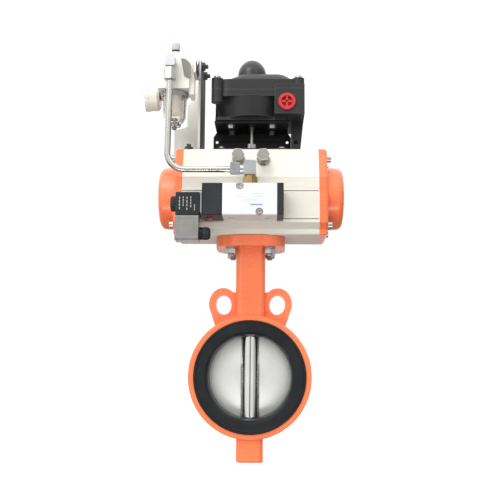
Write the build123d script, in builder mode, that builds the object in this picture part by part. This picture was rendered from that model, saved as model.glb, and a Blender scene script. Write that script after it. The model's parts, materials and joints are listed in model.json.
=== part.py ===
"""Wafer butterfly valve DN100 with a rack-and-pinion actuator, as separate pieces in one frame.

Millimetres. The origin is the centre of the disc, where the pipe axis (Y) meets the stem axis (Z).
-Y is the side with the solenoid valve, and -X is the side with the filter-regulator. The disc is
closed and both pistons are at their inner ends.
"""
from build123d import *
import math
import os

os.makedirs("parts", exist_ok=True)

# ------------------------------------------------------------------ driving dimensions
slip = 0.05                 # radial clearance of a screw, stud, bush or shaft in its hole
running_gap = 0.3           # clearance of a moving rubber or piston face

# Valve, DN100
ring_radius = 79.0
ring_half_width = 24.0
ring_bore = 57.0
seat_bore = 52.8
lip_radius = 72.0
face_half_width = 27.0      # pipe axis centre to the rubber sealing face
disc_radius = seat_bore - running_gap
hub_radius = 12.0
hub_half_height = 51.0
stem_radius = 8.0
stem_foot_radius = 7.0
bush_radius = 10.0
boss_bottom = -107.0

# Top flange, ISO 5211 F07
flange_top = 180.0
flange_thickness = 14.0
flange_size = 90.0
flange_pitch = 70.0 / math.sqrt(2)      # side of the square on the 70 mm bolt circle
stud_radius = 4.0
square_drive = 11.0

# Actuator
actuator_half_length = 88.0
actuator_top = 295.0
pad_y = -52.0               # solenoid valve pad, VDI/VDE 3845
pad_port_z = 216.3
pad_port_x = 12.0
pad_screw_rise = 16.0
bore_z = 235.0
bore_radius = 41.5
cap_plate = 11.0
cap_length = 35.0
cap_bevel = 3.0
stop_x = 16.0
stop_z = 280.0
stop_gap = 0.3

# Pinion and racks
gear_module = 2.0
gear_teeth = 16
pitch_radius = gear_module * gear_teeth / 2
tooth_thickness = 2.84
pressure_angle = math.radians(20)
gear_outer = 17.8
gear_root = 14.05
rack_tip = 14.3
rack_root = 18.05
rack_back = 34.0
rack_half_height = 14.0
stroke = pitch_radius * math.pi / 2

# Solenoid valve
valve_front = -95.0
valve_half_length = 33.5
valve_bottom = 196.0
valve_top = 236.0
spool_y = -73.0
spool_radius = 6.0
coil_y = -80.0
coil_z = 212.3
air_y = -75.0               # the air line lies in this plane

# Switch box
box_floor = 335.0
box_split = 372.0
box_top = 398.0
box_centre_x = 11.0

# Filter-regulator
reg_x = -100.0
reg_y = -43.0
reg_bottom = 367.5
reg_top = 416.5
air_x = -103.0              # upper end of the air line
air_foot_x = -105.5         # where its long run starts, a little further out
air_z = 257.5               # horizontal run of the air line
gauge_y = -24.0
gauge_z = 370.0
gauge_face_x = -142.2
gauge_back = -121.5
gauge_radius = 21.0
gauge_thread = 4.0


def finish(piece, name):
    """Label one finished piece and write its STEP file."""
    piece.label = name
    export_step(piece, f"parts/{name}.step")


# ------------------------------------------------------------------ valve body
neck_foot = 60.0
neck_size = (38.0, 40.0)
neck_round = 8.0
neck_flare = 4.0
boss_size = (34.0, 38.0)
flange_bottom = flange_top - flange_thickness
lug_x = 35.0
lug_z = 92.7
lug_hole = (10.2, 13.0)     # half axes of the egg-shaped lug hole
lug_wall = 8.8
lug_tilt = 8.0
lug_half_thickness = 9.0
edge_break = 1.5
stem_bore_end = boss_bottom + 4

with BuildPart() as valve_body:
    with BuildSketch(Plane.XY):
        with Locations(((ring_bore + ring_radius) / 2, 0)):
            Rectangle(ring_radius - ring_bore, 2 * ring_half_width)
        chamfer(vertices().group_by(Axis.X)[-1], edge_break)
    revolve(axis=Axis.Y)
    for side in (-1, 1):
        with BuildSketch(Plane.XZ):
            with Locations((side * lug_x, lug_z)):
                Ellipse(lug_hole[0] + lug_wall, lug_hole[1] + lug_wall, rotation=side * -lug_tilt)
            Polygon((0, neck_foot), (side * 46, 66), (side * 53.4, 88), (side * lug_x, 109), (0, 109), align=None)
            with Locations((side * lug_x, lug_z)):
                Ellipse(*lug_hole, rotation=side * -lug_tilt, mode=Mode.SUBTRACT)
        extrude(amount=lug_half_thickness, both=True)
    with BuildSketch(Plane.XY.offset(neck_foot)):
        RectangleRounded(*neck_size, neck_round)
    extrude(amount=flange_bottom - neck_foot)
    with BuildSketch(Plane.XY.offset(flange_bottom - 2 * neck_flare)):
        RectangleRounded(*neck_size, neck_round)
    with BuildSketch(Plane.XY.offset(flange_bottom)):
        RectangleRounded(neck_size[0] + neck_flare, neck_size[1] + neck_flare, neck_round + 3)
    loft()
    with BuildSketch(Plane.XY.offset(flange_bottom)):
        RectangleRounded(flange_size, flange_size, 30)
    extrude(amount=flange_thickness)
    chamfer(faces().filter_by(Axis.Z).group_by(Axis.Z)[-1].edges(), 1)
    with BuildSketch(Plane.XY.offset(boss_bottom)):
        Rectangle(*boss_size)
        chamfer(vertices(), 4)
    extrude(amount=40)
    chamfer(faces().sort_by(Axis.Z)[0].edges(), 2)
    Cylinder(ring_bore, 2 * ring_half_width + 2, rotation=(90, 0, 0), mode=Mode.SUBTRACT)
    with Locations((0, 0, ring_bore - 4)):
        Cylinder(bush_radius + slip, 140, align=(Align.CENTER, Align.CENTER, Align.MIN), mode=Mode.SUBTRACT)
    with Locations((0, 0, stem_bore_end)):
        Cylinder(bush_radius + slip, 60, align=(Align.CENTER, Align.CENTER, Align.MIN), mode=Mode.SUBTRACT)
    with Locations((0, 0, flange_top)):
        with GridLocations(flange_pitch, flange_pitch, 2, 2):
            Hole(stud_radius + 0.5, depth=flange_thickness + 10)
finish(valve_body.part, "valve_body")

# ------------------------------------------------------------------ rubber seat
lip_groove = 68.5

with BuildPart() as seat_liner:
    with BuildSketch(Plane.XY):
        with BuildLine():
            Polyline(
                (seat_bore, 0),
                (ring_bore - slip, 0),
                (ring_bore - slip, ring_half_width),
                (lip_radius, ring_half_width),
                (lip_radius, face_half_width - 1),
                (lip_radius - 1, face_half_width),
                (seat_bore + 4.5, face_half_width),
            )
            RadiusArc((seat_bore + 4.5, face_half_width), (seat_bore, face_half_width - 10), -14)
            Line((seat_bore, face_half_width - 10), (seat_bore, 0))
        make_face()
        with Locations((lip_groove, face_half_width)):
            Rectangle(1.2, 1.2, mode=Mode.SUBTRACT)
        mirror(about=Plane.XZ)
    revolve(axis=Axis.Y)
    Cylinder(
        stem_radius + 0.2, ring_bore + 2, align=(Align.CENTER, Align.CENTER, Align.MIN), mode=Mode.SUBTRACT
    )
    Cylinder(
        stem_foot_radius + 0.2, ring_bore + 2, align=(Align.CENTER, Align.CENTER, Align.MAX), mode=Mode.SUBTRACT
    )
finish(seat_liner.part, "seat_liner")

# ------------------------------------------------------------------ disc and stem
flat_half_height = 30.0     # the double-D drive between disc and stem
stem_bottom = boss_bottom + 6
stem_square_top = 198.0

with BuildPart() as disc:
    with BuildSketch(Plane.XY):
        Polygon(
            (0, 0), (disc_radius + 2, 0), (disc_radius + 2, 3.2), (44, 4.2), (20, 7.5), (0, 8), align=None
        )
        mirror(about=Plane.XZ)
    revolve(axis=Axis.Y)
    Cylinder(hub_radius, 2 * hub_half_height)
    Sphere(disc_radius, mode=Mode.INTERSECT)
    with Locations((0, 0, flat_half_height)):
        Cylinder(
            stem_radius + slip, 30, align=(Align.CENTER, Align.CENTER, Align.MIN), mode=Mode.SUBTRACT
        )
    with BuildSketch(Plane.XY.offset(-flat_half_height)):
        Circle(stem_radius + slip)
        Rectangle(40, 2 * (stem_foot_radius + slip), mode=Mode.INTERSECT)
    extrude(amount=2 * flat_half_height, mode=Mode.SUBTRACT)
    with Locations((0, 0, -flat_half_height)):
        Cylinder(
            stem_foot_radius + slip, 30, align=(Align.CENTER, Align.CENTER, Align.MAX), mode=Mode.SUBTRACT
        )
finish(disc.part, "disc")

with BuildPart() as stem:
    with BuildSketch(Plane.XY.offset(stem_bottom)):
        Circle(stem_foot_radius)
    extrude(amount=-stem_bottom - flat_half_height)
    with BuildSketch(Plane.XY.offset(-flat_half_height)):
        Circle(stem_radius)
        Rectangle(40, 2 * stem_foot_radius, mode=Mode.INTERSECT)
    extrude(amount=2 * flat_half_height)
    with BuildSketch(Plane.XY.offset(flat_half_height)):
        Circle(stem_radius)
    extrude(amount=flange_top - 1 - flat_half_height)
    with BuildSketch(Plane.XY.offset(flange_top - 1)):
        Rectangle(square_drive, square_drive)
        Circle(stem_radius - 0.3, mode=Mode.INTERSECT)
    extrude(amount=stem_square_top - flange_top + 1)
    chamfer(faces().sort_by(Axis.Z)[0].edges(), 0.8)
finish(stem.part, "stem")

with BuildPart() as stem_bushings:
    for bottom, height, bore in ((140, 25, stem_radius), (82, 18, stem_radius), (-100, 18, stem_foot_radius)):
        with BuildSketch(Plane.XY.offset(bottom)):
            Circle(bush_radius)
            Circle(bore + slip, mode=Mode.SUBTRACT)
        extrude(amount=height)
finish(stem_bushings.part, "stem_bushings")

# ------------------------------------------------------------------ flange studs and nuts
washer_height = 1.5
nut_height = 6.8
nut_flats = 13.0
stud_bottom = 155.5
stud_top = 194.0

with BuildPart() as flange_studs:
    with BuildSketch(Plane.XY.offset(stud_bottom)):
        with GridLocations(flange_pitch, flange_pitch, 2, 2):
            Circle(stud_radius)
    extrude(amount=stud_top - stud_bottom)
    chamfer(faces().filter_by(Axis.Z).edges(), 0.7)
finish(flange_studs.part, "flange_studs")

with BuildPart() as flange_nuts:
    with BuildSketch(Plane.XY.offset(flange_bottom - washer_height)):
        with GridLocations(flange_pitch, flange_pitch, 2, 2):
            Circle(8)
            Circle(stud_radius + 0.3, mode=Mode.SUBTRACT)
    extrude(amount=washer_height - 0.02)
    with BuildSketch(Plane.XY.offset(flange_bottom - washer_height - nut_height)):
        with GridLocations(flange_pitch, flange_pitch, 2, 2):
            RegularPolygon(nut_flats / 2, 6, major_radius=False)
            Circle(stud_radius + slip, mode=Mode.SUBTRACT)
    extrude(amount=nut_height - 0.02)
finish(flange_nuts.part, "flange_nuts")

# ------------------------------------------------------------------ actuator body
cap_screw_places = ((24, 284), (36, 193.5))
cap_screw_radius = 3.0
pad_screw_radius = 2.5
pad_screw_depth = 9.0
top_pad = (80, 30)          # bracket screws on the actuator's top
top_screw_radius = 2.5
cam_chamber_radius = 22.5
cam_chamber_top = 286.0
lower_journal = 18.5
lower_bearing = 20.5
upper_journal = 8.0
upper_bearing = 10.5
cam_shoulder = 13.0
gallery = (-44.5, 207.5)    # air passage to the two end chambers: y, z
stop_face_y = -38.0


outline_side = (
    (42, flange_top),
    (43.5, flange_top + 1.5),
    (43.5, 187),
    (-pad_y, 194.7),
    (-pad_y, 237),
    (47, 237),
    (47, 255),
    (32, actuator_top),
)


def actuator_outline(x):
    """The actuator's cross-section on the plane square to X at x."""
    with BuildSketch(Plane.YZ.offset(x)) as outline:
        Polygon(*outline_side, *((-y, z) for y, z in reversed(outline_side)), align=None)
    return outline.sketch


with BuildPart() as actuator_body:
    extrude(actuator_outline(-actuator_half_length), amount=2 * actuator_half_length)
    with Locations((0, 0, bore_z)):
        Cylinder(bore_radius, 2 * actuator_half_length + 2, rotation=(0, 90, 0), mode=Mode.SUBTRACT)
    with Locations((0, 0, cam_chamber_top)):
        Cylinder(
            cam_chamber_radius, 30, align=(Align.CENTER, Align.CENTER, Align.MAX), mode=Mode.SUBTRACT
        )
    with Locations((0, 0, bore_z)):
        Cylinder(lower_bearing, 60, align=(Align.CENTER, Align.CENTER, Align.MAX), mode=Mode.SUBTRACT)
        Cylinder(upper_bearing, 62, align=(Align.CENTER, Align.CENTER, Align.MIN), mode=Mode.SUBTRACT)
    with Locations((0, 0, flange_top)):
        with GridLocations(flange_pitch, flange_pitch, 2, 2):
            Cylinder(
                stud_radius + slip, 15, align=(Align.CENTER, Align.CENTER, Align.MIN), mode=Mode.SUBTRACT
            )
    with Locations((0, 0, actuator_top)):
        with GridLocations(*top_pad, 2, 2):
            Hole(top_screw_radius + slip, depth=12)
    for side in (-1, 1):
        with Locations((side * stop_x, stop_face_y, stop_z)):
            Cylinder(
                9, 30, rotation=(90, 0, 0), align=(Align.CENTER, Align.CENTER, Align.MIN), mode=Mode.SUBTRACT
            )
            Cylinder(stud_radius + slip, 60, rotation=(90, 0, 0), mode=Mode.SUBTRACT)
        for y, z in cap_screw_places:
            with Locations((side * actuator_half_length, y, z), (side * actuator_half_length, -y, z)):
                Cylinder(cap_screw_radius + slip, 40, rotation=(0, 90, 0), mode=Mode.SUBTRACT)
        for rise in (-pad_screw_rise, pad_screw_rise):
            with Locations((side * pad_port_x, pad_y, pad_port_z + rise)):
                Cylinder(
                    pad_screw_radius + slip, 2 * pad_screw_depth, rotation=(90, 0, 0), mode=Mode.SUBTRACT
                )
        with Locations((side * 83, gallery[0], gallery[1])):
            Cylinder(
                2, 20, rotation=(-90, 0, 0), align=(Align.CENTER, Align.CENTER, Align.MIN), mode=Mode.SUBTRACT
            )
    with Locations((0, gallery[0], gallery[1])):
        Cylinder(2.5, 173, rotation=(0, 90, 0), mode=Mode.SUBTRACT)
    with Locations((-pad_port_x, pad_y, pad_port_z)):
        Cylinder(3.5, 40, rotation=(90, 0, 0), mode=Mode.SUBTRACT)
    with BuildSketch(Plane.XZ.offset(-pad_y)):
        with Locations((pad_port_x, (pad_port_z + gallery[1]) / 2)):
            SlotCenterToCenter(pad_port_z - gallery[1], 6, rotation=90)
    extrude(amount=-9, mode=Mode.SUBTRACT)
    with Locations((-84, -12, actuator_top)):
        Hole(3 + slip, depth=12)
finish(actuator_body.part, "actuator_body")

# ------------------------------------------------------------------ end caps
dome_radius = 42.0
dome_end = actuator_half_length + cap_length
seal_groove = (42.6, 45.4)

with BuildPart() as end_cap_right:
    extrude(actuator_outline(actuator_half_length), amount=cap_plate - cap_bevel)
    extrude(actuator_outline(actuator_half_length + cap_plate - cap_bevel), amount=cap_bevel, taper=35)
    with BuildSketch(Plane.XZ):
        with BuildLine():
            Polyline(
                (dome_end, bore_z),
                (actuator_half_length + cap_plate, bore_z),
                (actuator_half_length + cap_plate, bore_z + dome_radius),
                (dome_end - 10, bore_z + dome_radius - 1),
            )
            ThreePointArc(
                (dome_end - 10, bore_z + dome_radius - 1),
                (dome_end - 4.6, bore_z + dome_radius - 3.6),
                (dome_end - 2.5, bore_z + dome_radius - 9),
            )
            Spline(
                (dome_end - 2.5, bore_z + dome_radius - 9), (dome_end, bore_z), tangents=((0.2, -1), (0, -1))
            )
        make_face()
    revolve(axis=Axis((0, 0, bore_z), (1, 0, 0)))
    with Locations((actuator_half_length, 0, bore_z)):
        Cylinder(bore_radius - running_gap, 2 * 5, rotation=(0, 90, 0))
    with BuildSketch(Plane.YZ.offset(actuator_half_length - 6)):
        with Locations((0, bore_z)):
            Circle(38)
    extrude(amount=cap_length, mode=Mode.SUBTRACT)
    with BuildSketch(Plane.YZ.offset(actuator_half_length)):
        with Locations((0, bore_z)):
            Circle(seal_groove[1])
            Circle(seal_groove[0], mode=Mode.SUBTRACT)
    extrude(amount=2, mode=Mode.SUBTRACT)
    for y, z in cap_screw_places:
        with Locations((actuator_half_length, y, z), (actuator_half_length, -y, z)):
            Cylinder(cap_screw_radius + slip, 40, rotation=(0, 90, 0), mode=Mode.SUBTRACT)
finish(end_cap_right.part, "end_cap_right")

with BuildPart() as end_cap_left:
    mirror(end_cap_right.part, about=Plane.YZ)
finish(end_cap_left.part, "end_cap_left")

cap_head = actuator_half_length + cap_plate

with BuildPart() as end_cap_screws:
    for side in (-1, 1):
        for y, z in cap_screw_places:
            for across in (-y, y):
                with Locations(Location((side * cap_head, across, z), (0, side * 90, 0))):
                    Cylinder(5, 6, align=(Align.CENTER, Align.CENTER, Align.MIN))
                    Cylinder(cap_screw_radius, 26, align=(Align.CENTER, Align.CENTER, Align.MAX))
                with Locations(Location((side * (cap_head + 6), across, z), (0, side * 90, 0))):
                    Cylinder(2.8, 6, mode=Mode.SUBTRACT)
finish(end_cap_screws.part, "end_cap_screws")

# ------------------------------------------------------------------ seals and bearings
with BuildPart() as o_rings:
    with Locations((0, 0, 172)):
        Torus(9.025, 0.95)
    with Locations((0, 0, -78)):
        Torus(8.525, 1.45)
    with Locations((0, 0, 184)):
        Torus((lower_journal + lower_bearing) / 2, 0.95)
    with Locations((0, 0, 288)):
        Torus((upper_journal + upper_bearing) / 2, 1.15)
    for side in (-1, 1):
        with Locations(Location((side * (actuator_half_length + 1), 0, bore_z), (0, 90, 0))):
            Torus(sum(seal_groove) / 2, 0.95)
finish(o_rings.part, "o_rings")

with BuildPart() as pinion_bearings:
    for bottom, height, inner, outer in (
        (186.5, 6, lower_journal, lower_bearing),
        (290, 4.5, upper_journal, upper_bearing),
    ):
        with BuildSketch(Plane.XY.offset(bottom)):
            Circle(outer - slip)
            Circle(inner + slip, mode=Mode.SUBTRACT)
        extrude(amount=height)
finish(pinion_bearings.part, "pinion_bearings")

# ------------------------------------------------------------------ pinion
gear_bottom = 219.0
gear_top = 251.0
cam_bottom = 277.5
cam_top = 284.5
cam_drive = 8.0             # half of the hexagon's width across flats
pinion_top = 309.0
slot_bottom = 301.0
slot_width = 4.0
base_radius = pitch_radius * math.cos(pressure_angle)


def involute_half_angle(radius):
    """Half the tooth's angle at this radius, from the involute of the base circle."""
    angle = math.acos(min(1.0, base_radius / radius))
    pitch_involute = math.tan(pressure_angle) - pressure_angle
    return tooth_thickness / (2 * pitch_radius) + pitch_involute - (math.tan(angle) - angle)


def polar(radius, angle):
    return (radius * math.cos(angle), radius * math.sin(angle))


with BuildPart() as pinion:
    with BuildSketch(Plane.XY.offset(gear_bottom)):
        Circle(gear_root)
        flank = [base_radius + (gear_outer - base_radius) * step / 4 for step in range(5)]
        half = [involute_half_angle(radius) for radius in flank]
        left_side = [polar(radius, angle) for radius, angle in zip(flank, half)]
        right_side = [polar(radius, -angle) for radius, angle in zip(flank, half)]
        with PolarLocations(0, gear_teeth):
            Polygon(
                polar(gear_root - 1, -half[0]), *right_side, *reversed(left_side), polar(gear_root - 1, half[0]),
                align=None,
            )
    extrude(amount=gear_top - gear_bottom)
    for bottom, top, radius in (
        (flange_top + 0.3, gear_bottom, lower_journal),
        (gear_top, cam_bottom - 0.1, cam_shoulder),
        (cam_top, actuator_top, upper_journal),
    ):
        with BuildSketch(Plane.XY.offset(bottom)):
            Circle(radius)
        extrude(amount=top - bottom)
    with BuildSketch(Plane.XY.offset(cam_bottom - 0.1)):
        RegularPolygon(cam_drive, 6, major_radius=False)
    extrude(amount=cam_top - cam_bottom + 0.1)
    with BuildSketch(Plane.XY.offset(actuator_top)):
        Circle(upper_journal)
        Rectangle(11, 40, mode=Mode.INTERSECT)
    extrude(amount=pinion_top - actuator_top)
    with BuildSketch(Plane.XY.offset(slot_bottom)):
        Rectangle(slot_width, 40)
    extrude(amount=20, mode=Mode.SUBTRACT)
    with BuildSketch(Plane.XY.offset(flange_top)):
        Rectangle(square_drive + 0.2, square_drive + 0.2)
    extrude(amount=20, mode=Mode.SUBTRACT)
finish(pinion.part, "pinion")

cam_back = 10.0
cam_radius = 21.0

with BuildPart() as stop_cam:
    with BuildSketch(Plane.XY.offset(cam_bottom)):
        Circle(cam_radius)
        with Locations((-cam_back, -cam_back)):
            Rectangle(60, 60, align=(Align.MIN, Align.MIN), mode=Mode.INTERSECT)
        RegularPolygon(cam_drive + slip, 6, major_radius=False, mode=Mode.SUBTRACT)
    extrude(amount=cam_top - cam_bottom - 0.1)
finish(stop_cam.part, "stop_cam")

# ------------------------------------------------------------------ stop screws
stop_tip_y = -cam_back - stop_gap
stop_head_y = -60.0
stop_head = 5.5
stop_head_flats = 14.4
stop_nut_flats = 15.4

with BuildPart() as stop_screws:
    for side in (-1, 1):
        with Locations((side * stop_x, stop_head_y, stop_z)):
            Cylinder(
                stud_radius, stop_tip_y - stop_head_y, rotation=(-90, 0, 0),
                align=(Align.CENTER, Align.CENTER, Align.MIN),
            )
        with BuildSketch(Plane.XZ.offset(-stop_head_y)):
            with Locations((side * stop_x, stop_z)):
                RegularPolygon(stop_head_flats / 2, 6, major_radius=False, rotation=26)
        extrude(amount=stop_head)
finish(stop_screws.part, "stop_screws")

with BuildPart() as stop_nuts:
    with BuildSketch(Plane.XZ.offset(-stop_face_y)):
        with Locations((-stop_x, stop_z), (stop_x, stop_z)):
            RegularPolygon(stop_nut_flats / 2, 6, major_radius=False, rotation=20)
            Circle(stud_radius + slip, mode=Mode.SUBTRACT)
    extrude(amount=6.5)
finish(stop_nuts.part, "stop_nuts")

# ------------------------------------------------------------------ pistons
head_inner = 40.0
head_outer = 56.0
rack_end = -38.0
piston_radius = bore_radius - running_gap
rack_pitch = math.pi * gear_module
tooth_count = 8
first_tooth = -5.5 * rack_pitch
guide_groove = (42.0, 46.0, 39.4)
seal_slot = (49.5, 52.5, 38.4)
tip_half = tooth_thickness / 2 - (pitch_radius - rack_tip) * math.tan(pressure_angle)
root_half = tooth_thickness / 2 + (rack_root - pitch_radius) * math.tan(pressure_angle)

with BuildPart() as piston_right:
    with Locations(((head_inner + head_outer) / 2, 0, bore_z)):
        Cylinder(piston_radius, head_outer - head_inner, rotation=(0, 90, 0))
    with BuildSketch(Plane.XY.offset(bore_z - rack_half_height)):
        Polygon(
            (rack_end, -rack_back), (head_inner, -rack_back), (head_inner, -rack_root), (rack_end, -rack_root),
            align=None,
        )
        for tooth in range(tooth_count):
            centre = first_tooth + tooth * rack_pitch
            Polygon(
                (centre - root_half, -rack_root - 1),
                (centre - root_half, -rack_root),
                (centre - tip_half, -rack_tip),
                (centre + tip_half, -rack_tip),
                (centre + root_half, -rack_root),
                (centre + root_half, -rack_root - 1),
                align=None,
            )
    extrude(amount=2 * rack_half_height)
    for start, stop, floor in (guide_groove, seal_slot):
        with BuildSketch(Plane.YZ.offset(start)):
            with Locations((0, bore_z)):
                Circle(piston_radius + 1)
                Circle(floor, mode=Mode.SUBTRACT)
        extrude(amount=stop - start, mode=Mode.SUBTRACT)
    with Locations((head_outer, 0, bore_z)):
        Cylinder(30, 16, rotation=(0, 90, 0), mode=Mode.SUBTRACT)
finish(piston_right.part, "piston_right")

with BuildPart() as piston_right_guides:
    with BuildSketch(Plane.YZ.offset(guide_groove[0] + 0.1)):
        with Locations((0, bore_z)):
            Circle(piston_radius)
            Circle(guide_groove[2] + slip, mode=Mode.SUBTRACT)
    extrude(amount=guide_groove[1] - guide_groove[0] - 0.2)
    with Locations(Location((sum(seal_slot[:2]) / 2, 0, bore_z), (0, 90, 0))):
        Torus(39.85, 1.4)
    with BuildSketch(Plane.YZ.offset(rack_end + 4)):
        with Locations((0, bore_z)):
            Circle(piston_radius)
        with Locations((-rack_back - slip, bore_z)):
            Rectangle(20, 16, align=(Align.MAX, Align.CENTER), mode=Mode.INTERSECT)
    extrude(amount=20)
finish(piston_right_guides.part, "piston_right_guides")

with BuildPart() as piston_left:
    add(piston_right.part, rotation=(0, 0, 180))
finish(piston_left.part, "piston_left")

with BuildPart() as piston_left_guides:
    add(piston_right_guides.part, rotation=(0, 0, 180))
finish(piston_left_guides.part, "piston_left_guides")

# ------------------------------------------------------------------ solenoid valve
valve_mid_z = (valve_bottom + valve_top) / 2
valve_depth = pad_y - valve_front
pilot_end = -58.6
cover_end = 41.6
inlet_radius = 6.5
counterbore = 4.6
counterbore_depth = 5.0
button_x = -50.0
button_radius = 4.0
exhaust_x = 23.0

with BuildPart() as solenoid_body:
    with BuildSketch(Plane.XZ.offset(-pad_y)):
        with Locations((0, valve_mid_z)):
            Rectangle(2 * valve_half_length, valve_top - valve_bottom)
    extrude(amount=valve_depth)
    chamfer(edges().filter_by(Axis.X).group_by(Axis.Y)[0], 1)
    with Locations((0, spool_y, pad_port_z)):
        Cylinder(spool_radius + slip, 80, rotation=(0, 90, 0), mode=Mode.SUBTRACT)
    for side in (-1, 1):
        with Locations((side * pad_port_x, pad_y, pad_port_z)):
            Cylinder(3.5, 36, rotation=(90, 0, 0), mode=Mode.SUBTRACT)
        with Locations((side * exhaust_x, spool_y, valve_bottom)):
            Cylinder(4.3, 16, mode=Mode.SUBTRACT)
            Cylinder(3, 34, mode=Mode.SUBTRACT)
        with Locations((side * pad_port_x, valve_front, pad_port_z - side * pad_screw_rise)):
            Cylinder(counterbore, 2 * counterbore_depth, rotation=(90, 0, 0), mode=Mode.SUBTRACT)
            Cylinder(pad_screw_radius + slip, 100, rotation=(90, 0, 0), mode=Mode.SUBTRACT)
    with Locations((0, air_y, valve_top)):
        Cylinder(inlet_radius + slip, 20, mode=Mode.SUBTRACT)
        Cylinder(3.5, 34, mode=Mode.SUBTRACT)
finish(solenoid_body.part, "solenoid_body")

with BuildPart() as solenoid_screws:
    for side in (-1, 1):
        place = (side * pad_port_x, valve_front + counterbore_depth, pad_port_z - side * pad_screw_rise)
        with Locations(Location(place, (90, 0, 0))):
            Cylinder(4.3, 4.6, align=(Align.CENTER, Align.CENTER, Align.MIN))
            Cylinder(pad_screw_radius, 46, align=(Align.CENTER, Align.CENTER, Align.MAX))
        with Locations(Location((place[0], place[1] - 4.6, place[2]), (90, 0, 0))):
            Cylinder(2.1, 5, mode=Mode.SUBTRACT)
finish(solenoid_screws.part, "solenoid_screws")

with BuildPart() as pilot_block:
    with BuildSketch(Plane.XZ.offset(-pad_y + 2)):
        with Locations(((pilot_end - valve_half_length) / 2, valve_mid_z)):
            Rectangle(-pilot_end - valve_half_length, valve_top - valve_bottom)
    extrude(amount=valve_depth - 2)
    chamfer(edges().filter_by(Axis.Z), 1.5)
    chamfer(edges().filter_by(Axis.X).group_by(Axis.Y)[0], 1)
    with Locations((-valve_half_length, spool_y, pad_port_z)):
        Cylinder(9, 16, rotation=(0, 90, 0), mode=Mode.SUBTRACT)
    with Locations((button_x, spool_y, valve_bottom)):
        Cylinder(button_radius + 0.2, 24, mode=Mode.SUBTRACT)
    with Locations((pilot_end, coil_y, coil_z)):
        Cylinder(4 + slip, 8, rotation=(0, 90, 0), mode=Mode.SUBTRACT)
finish(pilot_block.part, "pilot_block")

with BuildPart() as override_button:
    with Locations((button_x, spool_y, valve_bottom - 1.8)):
        Cylinder(button_radius, 10, align=(Align.CENTER, Align.CENTER, Align.MIN))
    chamfer(edges().group_by(Axis.Z)[0], 0.6)
finish(override_button.part, "override_button")

with BuildPart() as valve_end_cover:
    with BuildSketch(Plane.XZ.offset(-pad_y + 2)):
        with Locations(((cover_end + valve_half_length) / 2, valve_mid_z)):
            Rectangle(cover_end - valve_half_length, valve_top - valve_bottom)
    extrude(amount=valve_depth - 2)
    chamfer(edges().filter_by(Axis.Z).group_by(Axis.X)[-1], 1.5)
    with Locations((valve_half_length, spool_y, pad_port_z)):
        Cylinder(9, 8, rotation=(0, 90, 0), mode=Mode.SUBTRACT)
finish(valve_end_cover.part, "valve_end_cover")

spool_start = -32.0

with BuildPart() as valve_spool:
    with Locations((spool_start, spool_y, pad_port_z)):
        Cylinder(4, 60, rotation=(0, 90, 0), align=(Align.CENTER, Align.CENTER, Align.MIN))
    for land in (0, 13, 26, 39, 52):
        with Locations((spool_start + land, spool_y, pad_port_z)):
            Cylinder(
                spool_radius, 8, rotation=(0, 90, 0), align=(Align.CENTER, Align.CENTER, Align.MIN)
            )
finish(valve_spool.part, "valve_spool")

# ------------------------------------------------------------------ coil and its connector
coil_box = (-90.7, -61.3, -95.0, -65.0, 196.6, 224.8)
plate_gap = 0.2
tube_radius = 5.0
coil_nut_end = -97.8
gland_z = 175.2

with BuildPart() as coil:
    with BuildSketch(Plane.YZ.offset(coil_box[0])):
        with Locations(((coil_box[2] + coil_box[3]) / 2, (coil_box[4] + coil_box[5]) / 2)):
            RectangleRounded(coil_box[3] - coil_box[2], coil_box[5] - coil_box[4], 2)
    extrude(amount=coil_box[1] - coil_box[0])
    with Locations((coil_box[0], coil_y, coil_z)):
        Cylinder(tube_radius + slip, 80, rotation=(0, 90, 0), mode=Mode.SUBTRACT)
finish(coil.part, "coil")

with BuildPart() as armature_tube:
    with Locations((pilot_end - plate_gap, coil_y, coil_z)):
        Box(1.8, 26, 26, align=(Align.MAX, Align.CENTER, Align.CENTER))
        Cylinder(tube_radius, 37.5, rotation=(0, -90, 0), align=(Align.CENTER, Align.CENTER, Align.MIN))
        Cylinder(4, 4, rotation=(0, 90, 0), align=(Align.CENTER, Align.CENTER, Align.MIN))
        Cylinder(
            3.7, 30, rotation=(0, -90, 0), align=(Align.CENTER, Align.CENTER, Align.MIN), mode=Mode.SUBTRACT
        )
finish(armature_tube.part, "armature_tube")

with BuildPart() as armature:
    with Locations((pilot_end - plate_gap - 1, coil_y, coil_z)):
        Cylinder(3.4, 24, rotation=(0, -90, 0), align=(Align.CENTER, Align.CENTER, Align.MIN))
finish(armature.part, "armature")

with BuildPart() as coil_nut:
    with Locations((coil_box[0], coil_y, coil_z)):
        Cylinder(
            9.7, coil_box[0] - coil_nut_end, rotation=(0, -90, 0), align=(Align.CENTER, Align.CENTER, Align.MIN)
        )
        chamfer(edges().group_by(Axis.X)[0], 1)
        Cylinder(
            tube_radius + slip, 6, rotation=(0, -90, 0), align=(Align.CENTER, Align.CENTER, Align.MIN),
            mode=Mode.SUBTRACT,
        )
finish(coil_nut.part, "coil_nut")

connector_box = (-91.2, -62.4, -94.0, -66.0, 165.8, 196.4)

with BuildPart() as coil_connector:
    with BuildSketch(Plane.YZ.offset(connector_box[0])):
        with Locations(((connector_box[2] + connector_box[3]) / 2, (connector_box[4] + connector_box[5]) / 2)):
            RectangleRounded(connector_box[3] - connector_box[2], connector_box[5] - connector_box[4], 2.5)
    extrude(amount=connector_box[1] - connector_box[0])
    with Locations(((connector_box[0] + connector_box[1]) / 2, coil_y, 172)):
        Box(24, 22, 18, align=(Align.CENTER, Align.CENTER, Align.MIN), mode=Mode.SUBTRACT)
    with Locations((connector_box[1], coil_y, gland_z)):
        Cylinder(6 + slip, 12, rotation=(0, 90, 0), mode=Mode.SUBTRACT)
finish(coil_connector.part, "coil_connector")

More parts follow.
